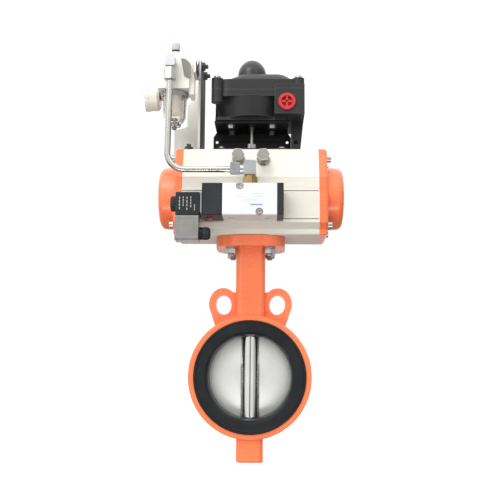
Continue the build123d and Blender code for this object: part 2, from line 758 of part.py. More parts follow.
with BuildPart() as connector_gland:
    with Locations((connector_box[1], coil_y, gland_z)):
        Cylinder(8, 14.1, rotation=(0, 90, 0), align=(Align.CENTER, Align.CENTER, Align.MIN))
        chamfer(edges().group_by(Axis.X)[-1], 1.2)
        Cylinder(6, 2.3, rotation=(0, -90, 0), align=(Align.CENTER, Align.CENTER, Align.MIN))
        Cylinder(3.5, 60, rotation=(0, 90, 0), mode=Mode.SUBTRACT)
finish(connector_gland.part, "connector_gland")

# ------------------------------------------------------------------ air line
nipple_hex_top = 250.0
elbow_low = (-8.0, 7.5, 250.0, 268.0)
elbow_depth = 15.0
union_radius = 6.0
union_nut_flats = 14.0
union_grip = 3.9            # nut end to the fitting's stub
low_nut = (-25.0, -12.5)
high_nut = (374.0, 390.0)
air_tube_radius = 4.0
bend_radius = 22.0
elbow_high = (391.0, 405.0)
air_port_z = 398.0

with BuildPart() as brass_fittings:
    with Locations((0, air_y, valve_top - 9)):
        Cylinder(inlet_radius, 9, align=(Align.CENTER, Align.CENTER, Align.MIN))
    with BuildSketch(Plane.XY.offset(valve_top)):
        with Locations((0, air_y)):
            RegularPolygon(8.5, 6, major_radius=False)
    extrude(amount=nipple_hex_top - valve_top)
    with Locations((0, air_y, nipple_hex_top)):
        Cylinder(5, 6, align=(Align.CENTER, Align.CENTER, Align.MIN))
        Cylinder(3, 80, mode=Mode.SUBTRACT)
    with BuildSketch(Plane.YZ.offset(gauge_back)):
        with Locations((gauge_y, gauge_z)):
            RegularPolygon(6, 6, major_radius=False)
    extrude(amount=reg_x - 20.1 - gauge_back)
    with Locations((gauge_back, gauge_y, gauge_z)):
        Cylinder(
            gauge_thread, 3, rotation=(0, -90, 0), align=(Align.CENTER, Align.CENTER, Align.MIN)
        )
        Cylinder(
            gauge_thread, 6.5, rotation=(0, 90, 0), align=(Align.CENTER, Align.CENTER, Align.MIN)
        )
        Cylinder(1.5, 40, rotation=(0, 90, 0), mode=Mode.SUBTRACT)
finish(brass_fittings.part, "brass_fittings")

with BuildPart() as tube_elbows:
    with BuildSketch(Plane.XZ.offset(-air_y - elbow_depth / 2)):
        with Locations(((elbow_low[0] + elbow_low[1]) / 2, (elbow_low[2] + elbow_low[3]) / 2)):
            RectangleRounded(elbow_low[1] - elbow_low[0], elbow_low[3] - elbow_low[2], 2.5)
        with Locations((air_x, sum(elbow_high) / 2)):
            RectangleRounded(13, elbow_high[1] - elbow_high[0], 2.5)
    extrude(amount=elbow_depth)
    with Locations((elbow_low[0], air_y, air_z)):
        Cylinder(union_radius, 13, rotation=(0, -90, 0), align=(Align.CENTER, Align.CENTER, Align.MIN))
        Cylinder(
            air_tube_radius + slip, 20, rotation=(0, 90, 0), align=(Align.CENTER, Align.CENTER, Align.MAX),
            mode=Mode.SUBTRACT,
        )
    with Locations((0, air_y, elbow_low[2])):
        Cylinder(5 + slip, 7, align=(Align.CENTER, Align.CENTER, Align.MIN), mode=Mode.SUBTRACT)
        Cylinder(3, 9, align=(Align.CENTER, Align.CENTER, Align.MIN), mode=Mode.SUBTRACT)
    with Locations((elbow_low[0] - 1, air_y, air_z)):
        Cylinder(
            3, 12, rotation=(0, 90, 0), align=(Align.CENTER, Align.CENTER, Align.MIN), mode=Mode.SUBTRACT
        )
    with Locations((air_x, air_y, elbow_high[0])):
        Cylinder(union_radius, 13, align=(Align.CENTER, Align.CENTER, Align.MAX))
        Cylinder(
            air_tube_radius + slip, 20, align=(Align.CENTER, Align.CENTER, Align.MAX), mode=Mode.SUBTRACT
        )
        Cylinder(3, 8, align=(Align.CENTER, Align.CENTER, Align.MIN), mode=Mode.SUBTRACT)
    with Locations((air_x, air_y + elbow_depth / 2, air_port_z)):
        Cylinder(6.5, 11.5, rotation=(-90, 0, 0), align=(Align.CENTER, Align.CENTER, Align.MIN))
    with Locations((air_x, air_y, air_port_z)):
        Cylinder(
            3, 30, rotation=(-90, 0, 0), align=(Align.CENTER, Align.CENTER, Align.MIN), mode=Mode.SUBTRACT
        )
finish(tube_elbows.part, "tube_elbows")

with BuildPart() as tube_nuts:
    with BuildSketch(Plane.YZ.offset(low_nut[0])):
        with Locations((air_y, air_z)):
            RegularPolygon(union_nut_flats / 2, 6, major_radius=False)
            Circle(air_tube_radius + slip, mode=Mode.SUBTRACT)
    extrude(amount=low_nut[1] - low_nut[0])
    with Locations((low_nut[0] + union_grip, air_y, air_z)):
        Cylinder(
            union_radius + slip, 20, rotation=(0, 90, 0), align=(Align.CENTER, Align.CENTER, Align.MIN),
            mode=Mode.SUBTRACT,
        )
    with BuildSketch(Plane.XY.offset(high_nut[0])):
        with Locations((air_x, air_y)):
            RegularPolygon(union_nut_flats / 2, 6, major_radius=False)
            Circle(air_tube_radius + slip, mode=Mode.SUBTRACT)
    extrude(amount=high_nut[1] - high_nut[0])
    with Locations((air_x, air_y, high_nut[0] + union_grip)):
        Cylinder(
            union_radius + slip, 20, align=(Align.CENTER, Align.CENTER, Align.MIN), mode=Mode.SUBTRACT
        )
finish(tube_nuts.part, "tube_nuts")

with BuildPart() as air_tube:
    with BuildLine():
        FilletPolyline(
            (elbow_low[0] - 4, air_y, air_z),
            (air_foot_x, air_y, air_z),
            (air_x, air_y, high_nut[0] - 4),
            (air_x, air_y, elbow_high[0] - 4),
            radius=bend_radius,
        )
    with BuildSketch(Plane.YZ.offset(elbow_low[0] - 4)):
        with Locations((air_y, air_z)):
            Circle(air_tube_radius)
            Circle(air_tube_radius - 1, mode=Mode.SUBTRACT)
    sweep()
finish(air_tube.part, "air_tube")

# ------------------------------------------------------------------ filter-regulator and its bracket
plate_x = -68.5             # right face of the bracket's side plate
sheet = 3.0
plate_front = -20.0
plate_back = 60.0
plate_bolts_y = (-8, 28)
strap_bolts_y = (-51, -35)
bolt_z = 417.0              # bolts of the side plate
strap_bolt_z = 399.0        # bolts of the filter-regulator
inlet_notch = 15.0

with BuildPart() as regulator_bracket:
    with BuildSketch(Plane.YZ.offset(plate_x - sheet)):
        with Locations((plate_front, actuator_top)):
            Rectangle(plate_back - plate_front, 130, align=(Align.MIN, Align.MIN))
        chamfer(vertices().group_by(Axis.Z)[-1], 6)
    extrude(amount=sheet)
    with BuildSketch(Plane.XZ.offset(-plate_back)):
        Polygon(
            (plate_x, actuator_top),
            (plate_x, 419),
            (-94, 419),
            (-94, 352),
            (-112, 346),
            (-112, actuator_top + 5),
            (-100, actuator_top),
            align=None,
        )
        with Locations((reg_x, air_port_z)):
            Circle(inlet_notch, mode=Mode.SUBTRACT)
    extrude(amount=sheet)
    with BuildSketch(Plane.XY.offset(actuator_top)):
        with Locations((plate_x, plate_front)):
            Rectangle(27.5, 80, align=(Align.MAX, Align.MIN))
    extrude(amount=sheet)
    with Locations((-84, -12, actuator_top)):
        Cylinder(3.3, 20, mode=Mode.SUBTRACT)
    for y in plate_bolts_y:
        with Locations((plate_x, y, bolt_z)):
            Cylinder(3.2, 20, rotation=(0, 90, 0), mode=Mode.SUBTRACT)
    with BuildSketch(Plane.YZ.offset(plate_x - 2 * sheet)):
        Polygon(
            (-60, strap_bolt_z - 9),
            (-28, strap_bolt_z - 9),
            (-14, bolt_z - 11),
            (36, bolt_z - 11),
            (36, bolt_z + 7),
            (-20, bolt_z + 7),
            (-34, strap_bolt_z + 9),
            (-60, strap_bolt_z + 9),
            align=None,
        )
    extrude(amount=sheet - 0.02)
    for y, z in (*((y, bolt_z) for y in plate_bolts_y), *((y, strap_bolt_z) for y in strap_bolts_y)):
        with Locations((plate_x - 2 * sheet, y, z)):
            Cylinder(3.2, 7, rotation=(0, 90, 0), mode=Mode.SUBTRACT)
finish(regulator_bracket.part, "regulator_bracket")

with BuildPart() as regulator_bolts:
    for y in plate_bolts_y:
        for x, height in ((plate_x - 2 * sheet - 4.1, 4.0), (plate_x + 0.1, 5.0)):
            with BuildSketch(Plane.YZ.offset(x)):
                with Locations((y, bolt_z)):
                    RegularPolygon(5, 6, major_radius=False)
            extrude(amount=height)
        with Locations((plate_x - 2 * sheet - 2, y, bolt_z)):
            Cylinder(3, 17, rotation=(0, 90, 0), align=(Align.CENTER, Align.CENTER, Align.MIN))
    for y in strap_bolts_y:
        with Locations((plate_x - sheet, y, strap_bolt_z)):
            Cylinder(2.5, 13, rotation=(0, -90, 0), align=(Align.CENTER, Align.CENTER, Align.MIN))
            Cylinder(4.5, 2, rotation=(0, 90, 0), align=(Align.CENTER, Align.CENTER, Align.MIN))
    with Locations((-84, -12, actuator_top - 10)):
        Cylinder(3, 22, align=(Align.CENTER, Align.CENTER, Align.MIN))
    with BuildSketch(Plane.XY.offset(actuator_top + sheet + 0.05)):
        with Locations((-84, -12)):
            RegularPolygon(5, 6, major_radius=False)
    extrude(amount=5)
finish(regulator_bolts.part, "regulator_bolts")

knob_bottom = 421.0
knob_radius = 5.9
shoulder_z = reg_top - 17
bowl_outer = 16.3
bowl_inner = 13.5
collar_outer = 17.9
collar_bottom = 361.0
bowl_bottom = 322.0
panel_x = (-90.5, -77.4)
panel_z = (379.5, 407.0)

with BuildPart() as regulator_body:
    with BuildSketch(Plane.XZ.offset(-reg_y - 20)):
        with BuildLine():
            Polyline(
                (reg_x - 20, reg_bottom), (reg_x + 20, reg_bottom), (reg_x + 20, shoulder_z)
            )
            RadiusArc((reg_x + 20, shoulder_z), (reg_x + 8, reg_top), -22)
            Line((reg_x + 8, reg_top), (reg_x - 8, reg_top))
            RadiusArc((reg_x - 8, reg_top), (reg_x - 20, shoulder_z), -22)
            Line((reg_x - 20, shoulder_z), (reg_x - 20, reg_bottom))
        make_face()
    extrude(amount=40)
    with Locations((reg_x, reg_y, reg_top)):
        Cone(8, 5, knob_bottom - 0.4 - reg_top, align=(Align.CENTER, Align.CENTER, Align.MIN))
    with Locations((reg_x + 20, reg_y, reg_bottom - 6)):
        Box(5.5, 26, 48, align=(Align.MIN, Align.CENTER, Align.MIN))
    with Locations((reg_x - 20, gauge_y, gauge_z)):
        Cylinder(6.5, 6, rotation=(0, 90, 0), align=(Align.CENTER, Align.CENTER, Align.MIN))
    with Locations((reg_x, reg_y, reg_bottom)):
        Cylinder(15.5, 8, mode=Mode.SUBTRACT)
    with Locations((air_x, reg_y - 20, air_port_z)):
        Cylinder(6.5 + slip, 18, rotation=(90, 0, 0), mode=Mode.SUBTRACT)
        Cylinder(3, 40, rotation=(90, 0, 0), mode=Mode.SUBTRACT)
    with Locations((reg_x, reg_y + 20, air_port_z)):
        Cylinder(6.6, 24, rotation=(90, 0, 0), mode=Mode.SUBTRACT)
    with Locations((reg_x - 20, gauge_y, gauge_z)):
        Cylinder(gauge_thread + slip, 11, rotation=(0, 90, 0), mode=Mode.SUBTRACT)
    with Locations((reg_x, reg_y, knob_bottom)):
        Cylinder(3 + slip, 26, mode=Mode.SUBTRACT)
    for y in strap_bolts_y:
        with Locations((reg_x + 25.5, y, strap_bolt_z)):
            Cylinder(2.5 + slip, 30, rotation=(0, 90, 0), mode=Mode.SUBTRACT)
finish(regulator_body.part, "regulator_body")

with BuildPart() as regulator_side_panel:
    with BuildSketch(Plane.XZ.offset(-reg_y + 20)):
        with BuildLine():
            Polyline(
                (panel_x[1] - 1.5, panel_z[0]), (panel_x[0] + 4.5, panel_z[0] + 4), (panel_x[0], panel_z[1])
            )
            RadiusArc((panel_x[0], panel_z[1]), (panel_x[1] - 0.2, panel_z[1] - 11), 13)
            Polyline(
                (panel_x[1] - 0.2, panel_z[1] - 11),
                (panel_x[1] - 0.2, panel_z[0] + 2.5),
                (panel_x[1] - 1.5, panel_z[0]),
            )
        make_face()
    extrude(amount=1.6)
finish(regulator_side_panel.part, "regulator_side_panel")

with BuildPart() as regulator_knob:
    with Locations((reg_x, reg_y, knob_bottom)):
        Cylinder(knob_radius, 14, align=(Align.CENTER, Align.CENTER, Align.MIN))
        chamfer(edges().group_by(Axis.Z)[-1], 1)
        Cylinder(3, 11, align=(Align.CENTER, Align.CENTER, Align.MAX))
finish(regulator_knob.part, "regulator_knob")

with BuildPart() as bowl_collar:
    with BuildSketch(Plane.XY.offset(collar_bottom)):
        with Locations((reg_x, reg_y)):
            Circle(collar_outer)
            Circle(bowl_outer + 0.1, mode=Mode.SUBTRACT)
    extrude(amount=reg_bottom - collar_bottom - 0.05)
finish(bowl_collar.part, "bowl_collar")

with BuildPart() as filter_bowl:
    with BuildSketch(Plane.XZ):
        with BuildLine():
            Polyline(
                (4.5, bowl_bottom + 6), (4.5, bowl_bottom), (8, bowl_bottom), (9, bowl_bottom + 4)
            )
            RadiusArc((9, bowl_bottom + 4), (bowl_outer - 1.5, bowl_bottom + 14), -12)
            Polyline(
                (bowl_outer - 1.5, bowl_bottom + 14),
                (bowl_outer, reg_bottom - 0.05),
                (bowl_inner, reg_bottom - 0.05),
                (bowl_inner - 1.5, bowl_bottom + 16),
            )
            RadiusArc((bowl_inner - 1.5, bowl_bottom + 16), (7.5, bowl_bottom + 6), 12)
            Line((7.5, bowl_bottom + 6), (4.5, bowl_bottom + 6))
        make_face()
    revolve(axis=Axis.Z)
filter_bowl.part.position = (reg_x, reg_y, 0)
finish(filter_bowl.part, "filter_bowl")

element_bottom = 342.0

with BuildPart() as filter_element:
    with BuildSketch(Plane.XY.offset(element_bottom)):
        with Locations((reg_x, reg_y)):
            Circle(8.5)
            Circle(5, mode=Mode.SUBTRACT)
    extrude(amount=reg_bottom - element_bottom)
    with BuildSketch(Plane.XY.offset(element_bottom - 3)):
        with Locations((reg_x, reg_y)):
            Circle(9.5)
    extrude(amount=3)
    with BuildSketch(Plane.XY.offset(reg_bottom)):
        with Locations((reg_x, reg_y)):
            Circle(14)
            Circle(5, mode=Mode.SUBTRACT)
    extrude(amount=3.5)
finish(filter_element.part, "filter_element")

with BuildPart() as drain_valve:
    with Locations((reg_x, reg_y, bowl_bottom - 4)):
        Cylinder(3, 14, align=(Align.CENTER, Align.CENTER, Align.MIN))
        Cylinder(1, 60, mode=Mode.SUBTRACT)
    with Locations((reg_x, reg_y, bowl_bottom + 9)):
        Cylinder(4, 2, align=(Align.CENTER, Align.CENTER, Align.MIN))
finish(drain_valve.part, "drain_valve")

bezel_x = -135.5            # seam between the gauge's bezel and its case

with BuildPart() as gauge_body:
    with BuildSketch(Plane.YZ.offset(gauge_face_x + 1.5)):
        with Locations((gauge_y, gauge_z)):
            Circle(gauge_radius)
    extrude(amount=bezel_x - gauge_face_x - 1.5)
    with BuildSketch(Plane.YZ.offset(bezel_x)):
        with Locations((gauge_y, gauge_z)):
            Circle(gauge_radius - 0.8)
    extrude(amount=gauge_back - 3 - bezel_x)
    with BuildSketch(Plane.YZ.offset(gauge_back - 3)):
        with Locations((gauge_y, gauge_z)):
            Circle(gauge_radius - 0.8)
    extrude(amount=2.9, taper=45)
    with Locations((gauge_face_x + 1.5, gauge_y, gauge_z)):
        Cylinder(gauge_radius - 2, 10, rotation=(0, 90, 0), mode=Mode.SUBTRACT)
        Cylinder(1, 7, rotation=(0, 90, 0), align=(Align.CENTER, Align.CENTER, Align.MIN))
    with Locations((gauge_back, gauge_y, gauge_z)):
        Cylinder(
            gauge_thread + slip, 3.1, rotation=(0, -90, 0), align=(Align.CENTER, Align.CENTER, Align.MIN),
            mode=Mode.SUBTRACT,
        )
finish(gauge_body.part, "gauge_body")

with BuildPart() as gauge_pointer:
    with BuildSketch(Plane.YZ.offset(gauge_face_x + 3.2)):
        with Locations((gauge_y, gauge_z)):
            Circle(2.2)
            with Locations((0, -4)):
                Rectangle(1.2, 20, align=(Align.CENTER, Align.MIN))
            Circle(1 + slip, mode=Mode.SUBTRACT)
    extrude(amount=0.8)
finish(gauge_pointer.part, "gauge_pointer")

with BuildPart() as gauge_lens:
    with BuildSketch(Plane.YZ.offset(gauge_face_x)):
        with Locations((gauge_y, gauge_z)):
            Circle(gauge_radius - 0.5)
    extrude(amount=1.4)
finish(gauge_lens.part, "gauge_lens")

# ------------------------------------------------------------------ switch bracket
bracket_half = 49.0
bracket_depth = 54.0
bracket_sheet = 3.0
box_screws = (55, 34)

with BuildPart() as switch_bracket:
    with BuildSketch(Plane.XY.offset(actuator_top)):
        Rectangle(2 * bracket_half, bracket_depth)
        Circle(14, mode=Mode.SUBTRACT)
        with GridLocations(*top_pad, 2, 2):
            Circle(top_screw_radius + 0.3, mode=Mode.SUBTRACT)
    extrude(amount=bracket_sheet)
    with BuildSketch(Plane.XZ.offset(-bracket_depth / 2)):
        Polygon(
            (-53.5, actuator_top), (53.5, actuator_top), (53.5, 327), (48, box_floor), (-48, box_floor),
            (-53.5, 327), align=None,
        )
        with Locations((-48.5, 320), (48.5, 320)):
            Circle(2, mode=Mode.SUBTRACT)
    extrude(amount=bracket_sheet)
    with BuildSketch(Plane.XY.offset(box_floor - bracket_sheet)):
        Rectangle(2 * bracket_half, bracket_depth)
        Circle(16, mode=Mode.SUBTRACT)
        with GridLocations(*box_screws, 2, 2):
            Circle(3.2, mode=Mode.SUBTRACT)
    extrude(amount=bracket_sheet)
finish(switch_bracket.part, "switch_bracket")

with BuildPart() as bracket_screws:
    with BuildSketch(Plane.XY.offset(actuator_top - 10)):
        with GridLocations(*top_pad, 2, 2):
            Circle(top_screw_radius)
    extrude(amount=10 + bracket_sheet + 0.1)
    with BuildSketch(Plane.XY.offset(actuator_top + bracket_sheet + 0.05)):
        with GridLocations(*top_pad, 2, 2):
            RegularPolygon(4, 6, major_radius=False)
    extrude(amount=4)
    with BuildSketch(Plane.XY.offset(box_floor - bracket_sheet - 0.05)):
        with GridLocations(*box_screws, 2, 2):
            Circle(6)
    extrude(amount=-1.2)
    with BuildSketch(Plane.XY.offset(box_floor - bracket_sheet - 1.25)):
        with GridLocations(*box_screws, 2, 2):
            RegularPolygon(5, 6, major_radius=False)
    extrude(amount=-4)
    with BuildSketch(Plane.XY.offset(box_floor - bracket_sheet - 1.25)):
        with GridLocations(*box_screws, 2, 2):
            Circle(3)
    extrude(amount=14)
finish(bracket_screws.part, "bracket_screws")

# ------------------------------------------------------------------ switch box
box_size = (110.0, 92.0)
box_corner = 14.0
ear_x = (-44.7, 61.8)
ear_y = 42.0
ear_radius = 7.7
plug_place = (46.5, 353.6)
side_block = (30.5, 69.5)
block_floor = 338.0
drum_radius = 14.0
dome_inner = 17.2
shaft_radius = 5.0

with BuildPart() as switch_box_base:
    with BuildSketch(Plane.XY.offset(box_floor)):
        RectangleRounded(96, 64, 6)
    extrude(amount=4)
    with BuildSketch(Plane.XY.offset(box_floor + 3)):
        Circle(43)
    with BuildSketch(Plane.XY.offset(box_split - 8)):
        Circle(48)
    loft()
    with BuildSketch(Plane.XY.offset(box_split - 9)):
        with Locations((box_centre_x, 0)):
            RectangleRounded(*box_size, box_corner)
    extrude(amount=9)
    with BuildSketch(Plane.XY.offset(block_floor)):
        with Locations((side_block[0], -50)):
            Rectangle(side_block[1] - side_block[0], 96, align=(Align.MIN, Align.MIN))
    extrude(amount=box_split - block_floor)
    for x in ear_x:
        with BuildSketch(Plane.XY.offset(355)):
            with Locations((x, -ear_y), (x, ear_y)):
                Circle(ear_radius)
        extrude(amount=box_split - 355)
    with BuildSketch(Plane.XZ.offset(-46)):
        Polygon((54, block_floor + 1), (69.5, block_floor + 1), (65.5, 300), (54, 300), align=None)
    extrude(amount=50)
    with BuildSketch(Plane.XY.offset(box_floor + 7)):
        Circle(39)
        with Locations((34.5, -44)):
            Rectangle(30, 84, align=(Align.MIN, Align.MIN))
    extrude(amount=60, mode=Mode.SUBTRACT)
    with BuildSketch(Plane.XZ.offset(-42)):
        Polygon((57, 345), (65.8, 345), (62.5, 322), (57, 322), align=None)
    extrude(amount=44, mode=Mode.SUBTRACT)
    with Locations((59.5, 20, 312)):
        Cylinder(3, 80, rotation=(90, 0, 0), mode=Mode.SUBTRACT)
    with BuildSketch(Plane.XY.offset(box_floor)):
        Circle(11)
        with GridLocations(*box_screws, 2, 2):
            Circle(5.5)
    extrude(amount=14)
    with Locations((0, 0, box_floor)):
        Cylinder(shaft_radius + slip, 60, mode=Mode.SUBTRACT)
        with GridLocations(*box_screws, 2, 2):
            Cylinder(3 + slip, 24, mode=Mode.SUBTRACT)
    with Locations((plug_place[0], -50, plug_place[1])):
        Cylinder(10 + slip, 20, rotation=(90, 0, 0), mode=Mode.SUBTRACT)
    for x in ear_x:
        with Locations((x, -ear_y, box_split), (x, ear_y, box_split)):
            Cylinder(2.5 + slip, 24, mode=Mode.SUBTRACT)
finish(switch_box_base.part, "switch_box_base")

with BuildPart() as switch_box_cover:
    with BuildSketch(Plane.XY.offset(box_split)):
        with Locations((box_centre_x, 0)):
            RectangleRounded(*box_size, box_corner)
    extrude(amount=14)
    with BuildSketch(Plane.XY.offset(box_split + 14)):
        with Locations((9, 0)):
            RectangleRounded(94, 84, 18)
    with BuildSketch(Plane.XY.offset(box_split + 21)):
        with Locations((12, 0)):
            RectangleRounded(82, 72, 18)
    with BuildSketch(Plane.XY.offset(box_top)):
        with Locations((14, 0)):
            RectangleRounded(66, 60, 14)
    loft()
    for x in ear_x:
        with BuildSketch(Plane.XY.offset(box_split)):
            with Locations((x, -ear_y), (x, ear_y)):
                Circle(ear_radius)
        extrude(amount=15)
    with BuildSketch(Plane.XY.offset(box_split)):
        with Locations((side_block[0], -50)):
            Rectangle(side_block[1] - side_block[0], 96, align=(Align.MIN, Align.MIN))
    extrude(amount=6)
    with BuildSketch(Plane.XY.offset(box_split)):
        with Locations((8, 0)):
            RectangleRounded(86, 76, 12)
    extrude(amount=15, mode=Mode.SUBTRACT)
    with BuildSketch(Plane.XY.offset(box_split)):
        Circle(dome_inner - 1.5)
    extrude(amount=60, mode=Mode.SUBTRACT)
    for x in ear_x:
        with Locations((x, -ear_y, box_split), (x, ear_y, box_split)):
            Cylinder(2.5 + slip, 60, mode=Mode.SUBTRACT)
finish(switch_box_cover.part, "switch_box_cover")

with BuildPart() as cover_screws:
    for x in ear_x:
        with Locations((x, -ear_y, box_split + 15.05), (x, ear_y, box_split + 15.05)):
            Cylinder(4.5, 4, align=(Align.CENTER, Align.CENTER, Align.MIN))
            Cylinder(2.5, 26, align=(Align.CENTER, Align.CENTER, Align.MAX))
        with Locations((x, -ear_y, box_split + 19.05), (x, ear_y, box_split + 19.05)):
            Cylinder(2.2, 5, mode=Mode.SUBTRACT)
finish(cover_screws.part, "cover_screws")

dome_outer = 19.3
dome_top = 427.5
dome_wall = 2.1

with BuildPart() as indicator_dome:
    with BuildSketch(Plane.XZ):
        with BuildLine():
            Polyline((dome_inner, box_top + 0.05), (dome_outer, box_top + 0.05), (dome_outer, box_top + 8))
            Spline(
                (dome_outer, box_top + 8), (13.7, dome_top - 6.2), (0, dome_top), tangents=((0, 1), (-1, 0))
            )
            Line((0, dome_top), (0, dome_top - dome_wall))
            Spline(
                (0, dome_top - dome_wall), (12.2, dome_top - 7.9), (dome_inner, box_top + 8),
                tangents=((1, 0), (0, -1)),
            )
            Line((dome_inner, box_top + 8), (dome_inner, box_top + 0.05))
        make_face()
    revolve(axis=Axis.Z)
finish(indicator_dome.part, "indicator_dome")

with BuildPart() as conduit_plug:
    with Locations(Location((plug_place[0], -50, plug_place[1]), (90, 0, 0))):
        Cylinder(11.2, 3.5, align=(Align.CENTER, Align.CENTER, Align.MIN))
        chamfer(edges().group_by(Axis.Y)[0], 0.8)
        Cylinder(10, 6, align=(Align.CENTER, Align.CENTER, Align.MAX))
    with BuildSketch(Plane.XZ.offset(53.5)):
        with Locations(plug_place):
            Circle(7.2)
    extrude(amount=-6, mode=Mode.SUBTRACT)
finish(conduit_plug.part, "conduit_plug")

blade_bottom = slot_bottom + 0.4
rotor_bottom = 400.0
cam_levels = ((352.0, 30), (360.0, 120))

with BuildPart() as switch_shaft:
    with BuildSketch(Plane.XY.offset(blade_bottom)):
        Rectangle(slot_width - 0.4, 13)
    extrude(amount=pinion_top + 0.4 - blade_bottom)
    with BuildSketch(Plane.XY.offset(pinion_top + 0.4)):
        Circle(2.5)
    extrude(amount=box_floor - 4 - pinion_top - 0.4)
    with BuildSketch(Plane.XY.offset(box_floor - 4)):
        Circle(shaft_radius)
    extrude(amount=rotor_bottom - box_floor + 4)
finish(switch_shaft.part, "switch_shaft")

with BuildPart() as switch_cams:
    for level, angle in cam_levels:
        with BuildSketch(Plane.XY.offset(level)):
            Circle(11)
            with Locations(Location((0, 0, 0), (0, 0, angle))):
                with Locations((9, 0)):
                    Circle(5)
            Circle(shaft_radius + slip, mode=Mode.SUBTRACT)
        extrude(amount=5)
finish(switch_cams.part, "switch_cams")

with BuildPart() as indicator_rotor:
    with BuildSketch(Plane.XY.offset(rotor_bottom + 0.02)):
        Circle(drum_radius)
    extrude(amount=3)
    with BuildSketch(Plane.XY.offset(rotor_bottom + 3)):
        Rectangle(2 * drum_radius - 2, 9)
    extrude(amount=11)
finish(indicator_rotor.part, "indicator_rotor")

with BuildPart() as micro_switches:
    for level, _ in cam_levels:
        with Locations((15.5, 0, level - 0.5)):
            Box(16, 8, 6, align=(Align.MIN, Align.CENTER, Align.MIN))
    with Locations((20, 6, box_floor + 7.05)):
        Box(10, 3, 24, align=(Align.MIN, Align.MIN, Align.MIN))
finish(micro_switches.part, "micro_switches")
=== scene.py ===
"""Looks of the pneumatic actuated valve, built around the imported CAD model. Metres, +Z up."""
import bpy
import bmesh
import json
import math
from mathutils import Matrix, Vector


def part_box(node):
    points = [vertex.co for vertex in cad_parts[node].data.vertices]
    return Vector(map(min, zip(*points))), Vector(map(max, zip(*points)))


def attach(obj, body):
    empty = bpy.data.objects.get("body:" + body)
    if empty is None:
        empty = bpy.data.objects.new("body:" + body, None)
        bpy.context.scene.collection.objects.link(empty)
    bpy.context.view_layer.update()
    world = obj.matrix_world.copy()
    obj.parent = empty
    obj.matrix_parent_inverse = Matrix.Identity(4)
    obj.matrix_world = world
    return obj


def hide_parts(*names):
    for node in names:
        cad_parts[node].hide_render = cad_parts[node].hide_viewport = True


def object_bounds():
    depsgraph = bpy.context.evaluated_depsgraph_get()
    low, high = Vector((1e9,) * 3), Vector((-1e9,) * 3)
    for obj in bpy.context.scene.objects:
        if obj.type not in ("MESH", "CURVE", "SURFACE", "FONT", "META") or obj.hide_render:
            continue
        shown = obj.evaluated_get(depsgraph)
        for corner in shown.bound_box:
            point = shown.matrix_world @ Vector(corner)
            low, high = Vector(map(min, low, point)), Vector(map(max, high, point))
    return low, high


MM = 0.001
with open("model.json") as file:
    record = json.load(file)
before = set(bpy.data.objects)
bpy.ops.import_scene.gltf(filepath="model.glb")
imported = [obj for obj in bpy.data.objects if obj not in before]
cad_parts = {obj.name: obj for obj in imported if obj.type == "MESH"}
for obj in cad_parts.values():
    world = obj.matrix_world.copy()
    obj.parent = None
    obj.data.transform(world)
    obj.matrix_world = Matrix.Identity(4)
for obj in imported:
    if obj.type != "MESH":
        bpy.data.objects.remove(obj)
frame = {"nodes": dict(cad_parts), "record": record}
cad_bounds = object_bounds()
nodes = frame["nodes"]
scene = bpy.context.scene
scene.view_settings.view_transform = "Standard"


# ---------------------------------------------------------------- materials
def new_material(name):
    """A material with its node tree, its shader and the object coordinates."""
    mat = bpy.data.materials.new(name)
    mat.use_nodes = True
    tree = mat.node_tree
    shader = tree.nodes["Principled BSDF"]
    coords = tree.nodes.new("ShaderNodeTexCoord")
    return mat, tree, shader, coords.outputs["Object"]


def noise(tree, vector, scale, detail=4.0, stretch=None):
    """Noise of the given scale, stretched along an axis where stretch says so."""
    if stretch:
        mapping = tree.nodes.new("ShaderNodeMapping")
        mapping.inputs["Scale"].default_value = stretch
        tree.links.new(vector, mapping.inputs["Vector"])
        vector = mapping.outputs["Vector"]
    node = tree.nodes.new("ShaderNodeTexNoise")
    node.inputs["Scale"].default_value = scale
    node.inputs["Detail"].default_value = detail
    tree.links.new(vector, node.inputs["Vector"])
    return node.outputs["Fac"]


def ramp(tree, source, start, stop, low, high):
    """Map start..stop to low..high, held at both ends."""
    node = tree.nodes.new("ShaderNodeMapRange")
    node.inputs["From Min"].default_value = start
    node.inputs["From Max"].default_value = stop
    node.inputs["To Min"].default_value = low
    node.inputs["To Max"].default_value = high
    tree.links.new(source, node.inputs["Value"])
    return node.outputs["Result"]


def calc(tree, operation, a, b=None, clamp=False):
    """One sum of two values, each a number or a socket."""
    node = tree.nodes.new("ShaderNodeMath")
    node.operation = operation
    node.use_clamp = clamp
    for socket, value in zip(node.inputs, (a, b)):
        if isinstance(value, float):
            socket.default_value = value
        elif value is not None:
            tree.links.new(value, socket)
    return node.outputs["Value"]


def spread(tree, value, low, high):
    """Map noise, which mostly lies within 0.3..0.7, to low..high."""
    return ramp(tree, value, 0.3, 0.7, low, high)


def two_tone(tree, factor, dark, light):
    """Mix two colours, each three numbers or a socket."""
    node = tree.nodes.new("ShaderNodeMix")
    node.data_type = "RGBA"
    for socket, colour in ((node.inputs["A"], dark), (node.inputs["B"], light)):
        if isinstance(colour, bpy.types.NodeSocket):
            tree.links.new(colour, socket)
        else:
            socket.default_value = (*colour, 1)
    tree.links.new(factor, node.inputs["Factor"])
    return node.outputs["Result"]


def mottled(tree, value, dark, light):
    """Two colours that run into each other with the noise."""
    return two_tone(tree, spread(tree, value, 0.0, 1.0), dark, light)


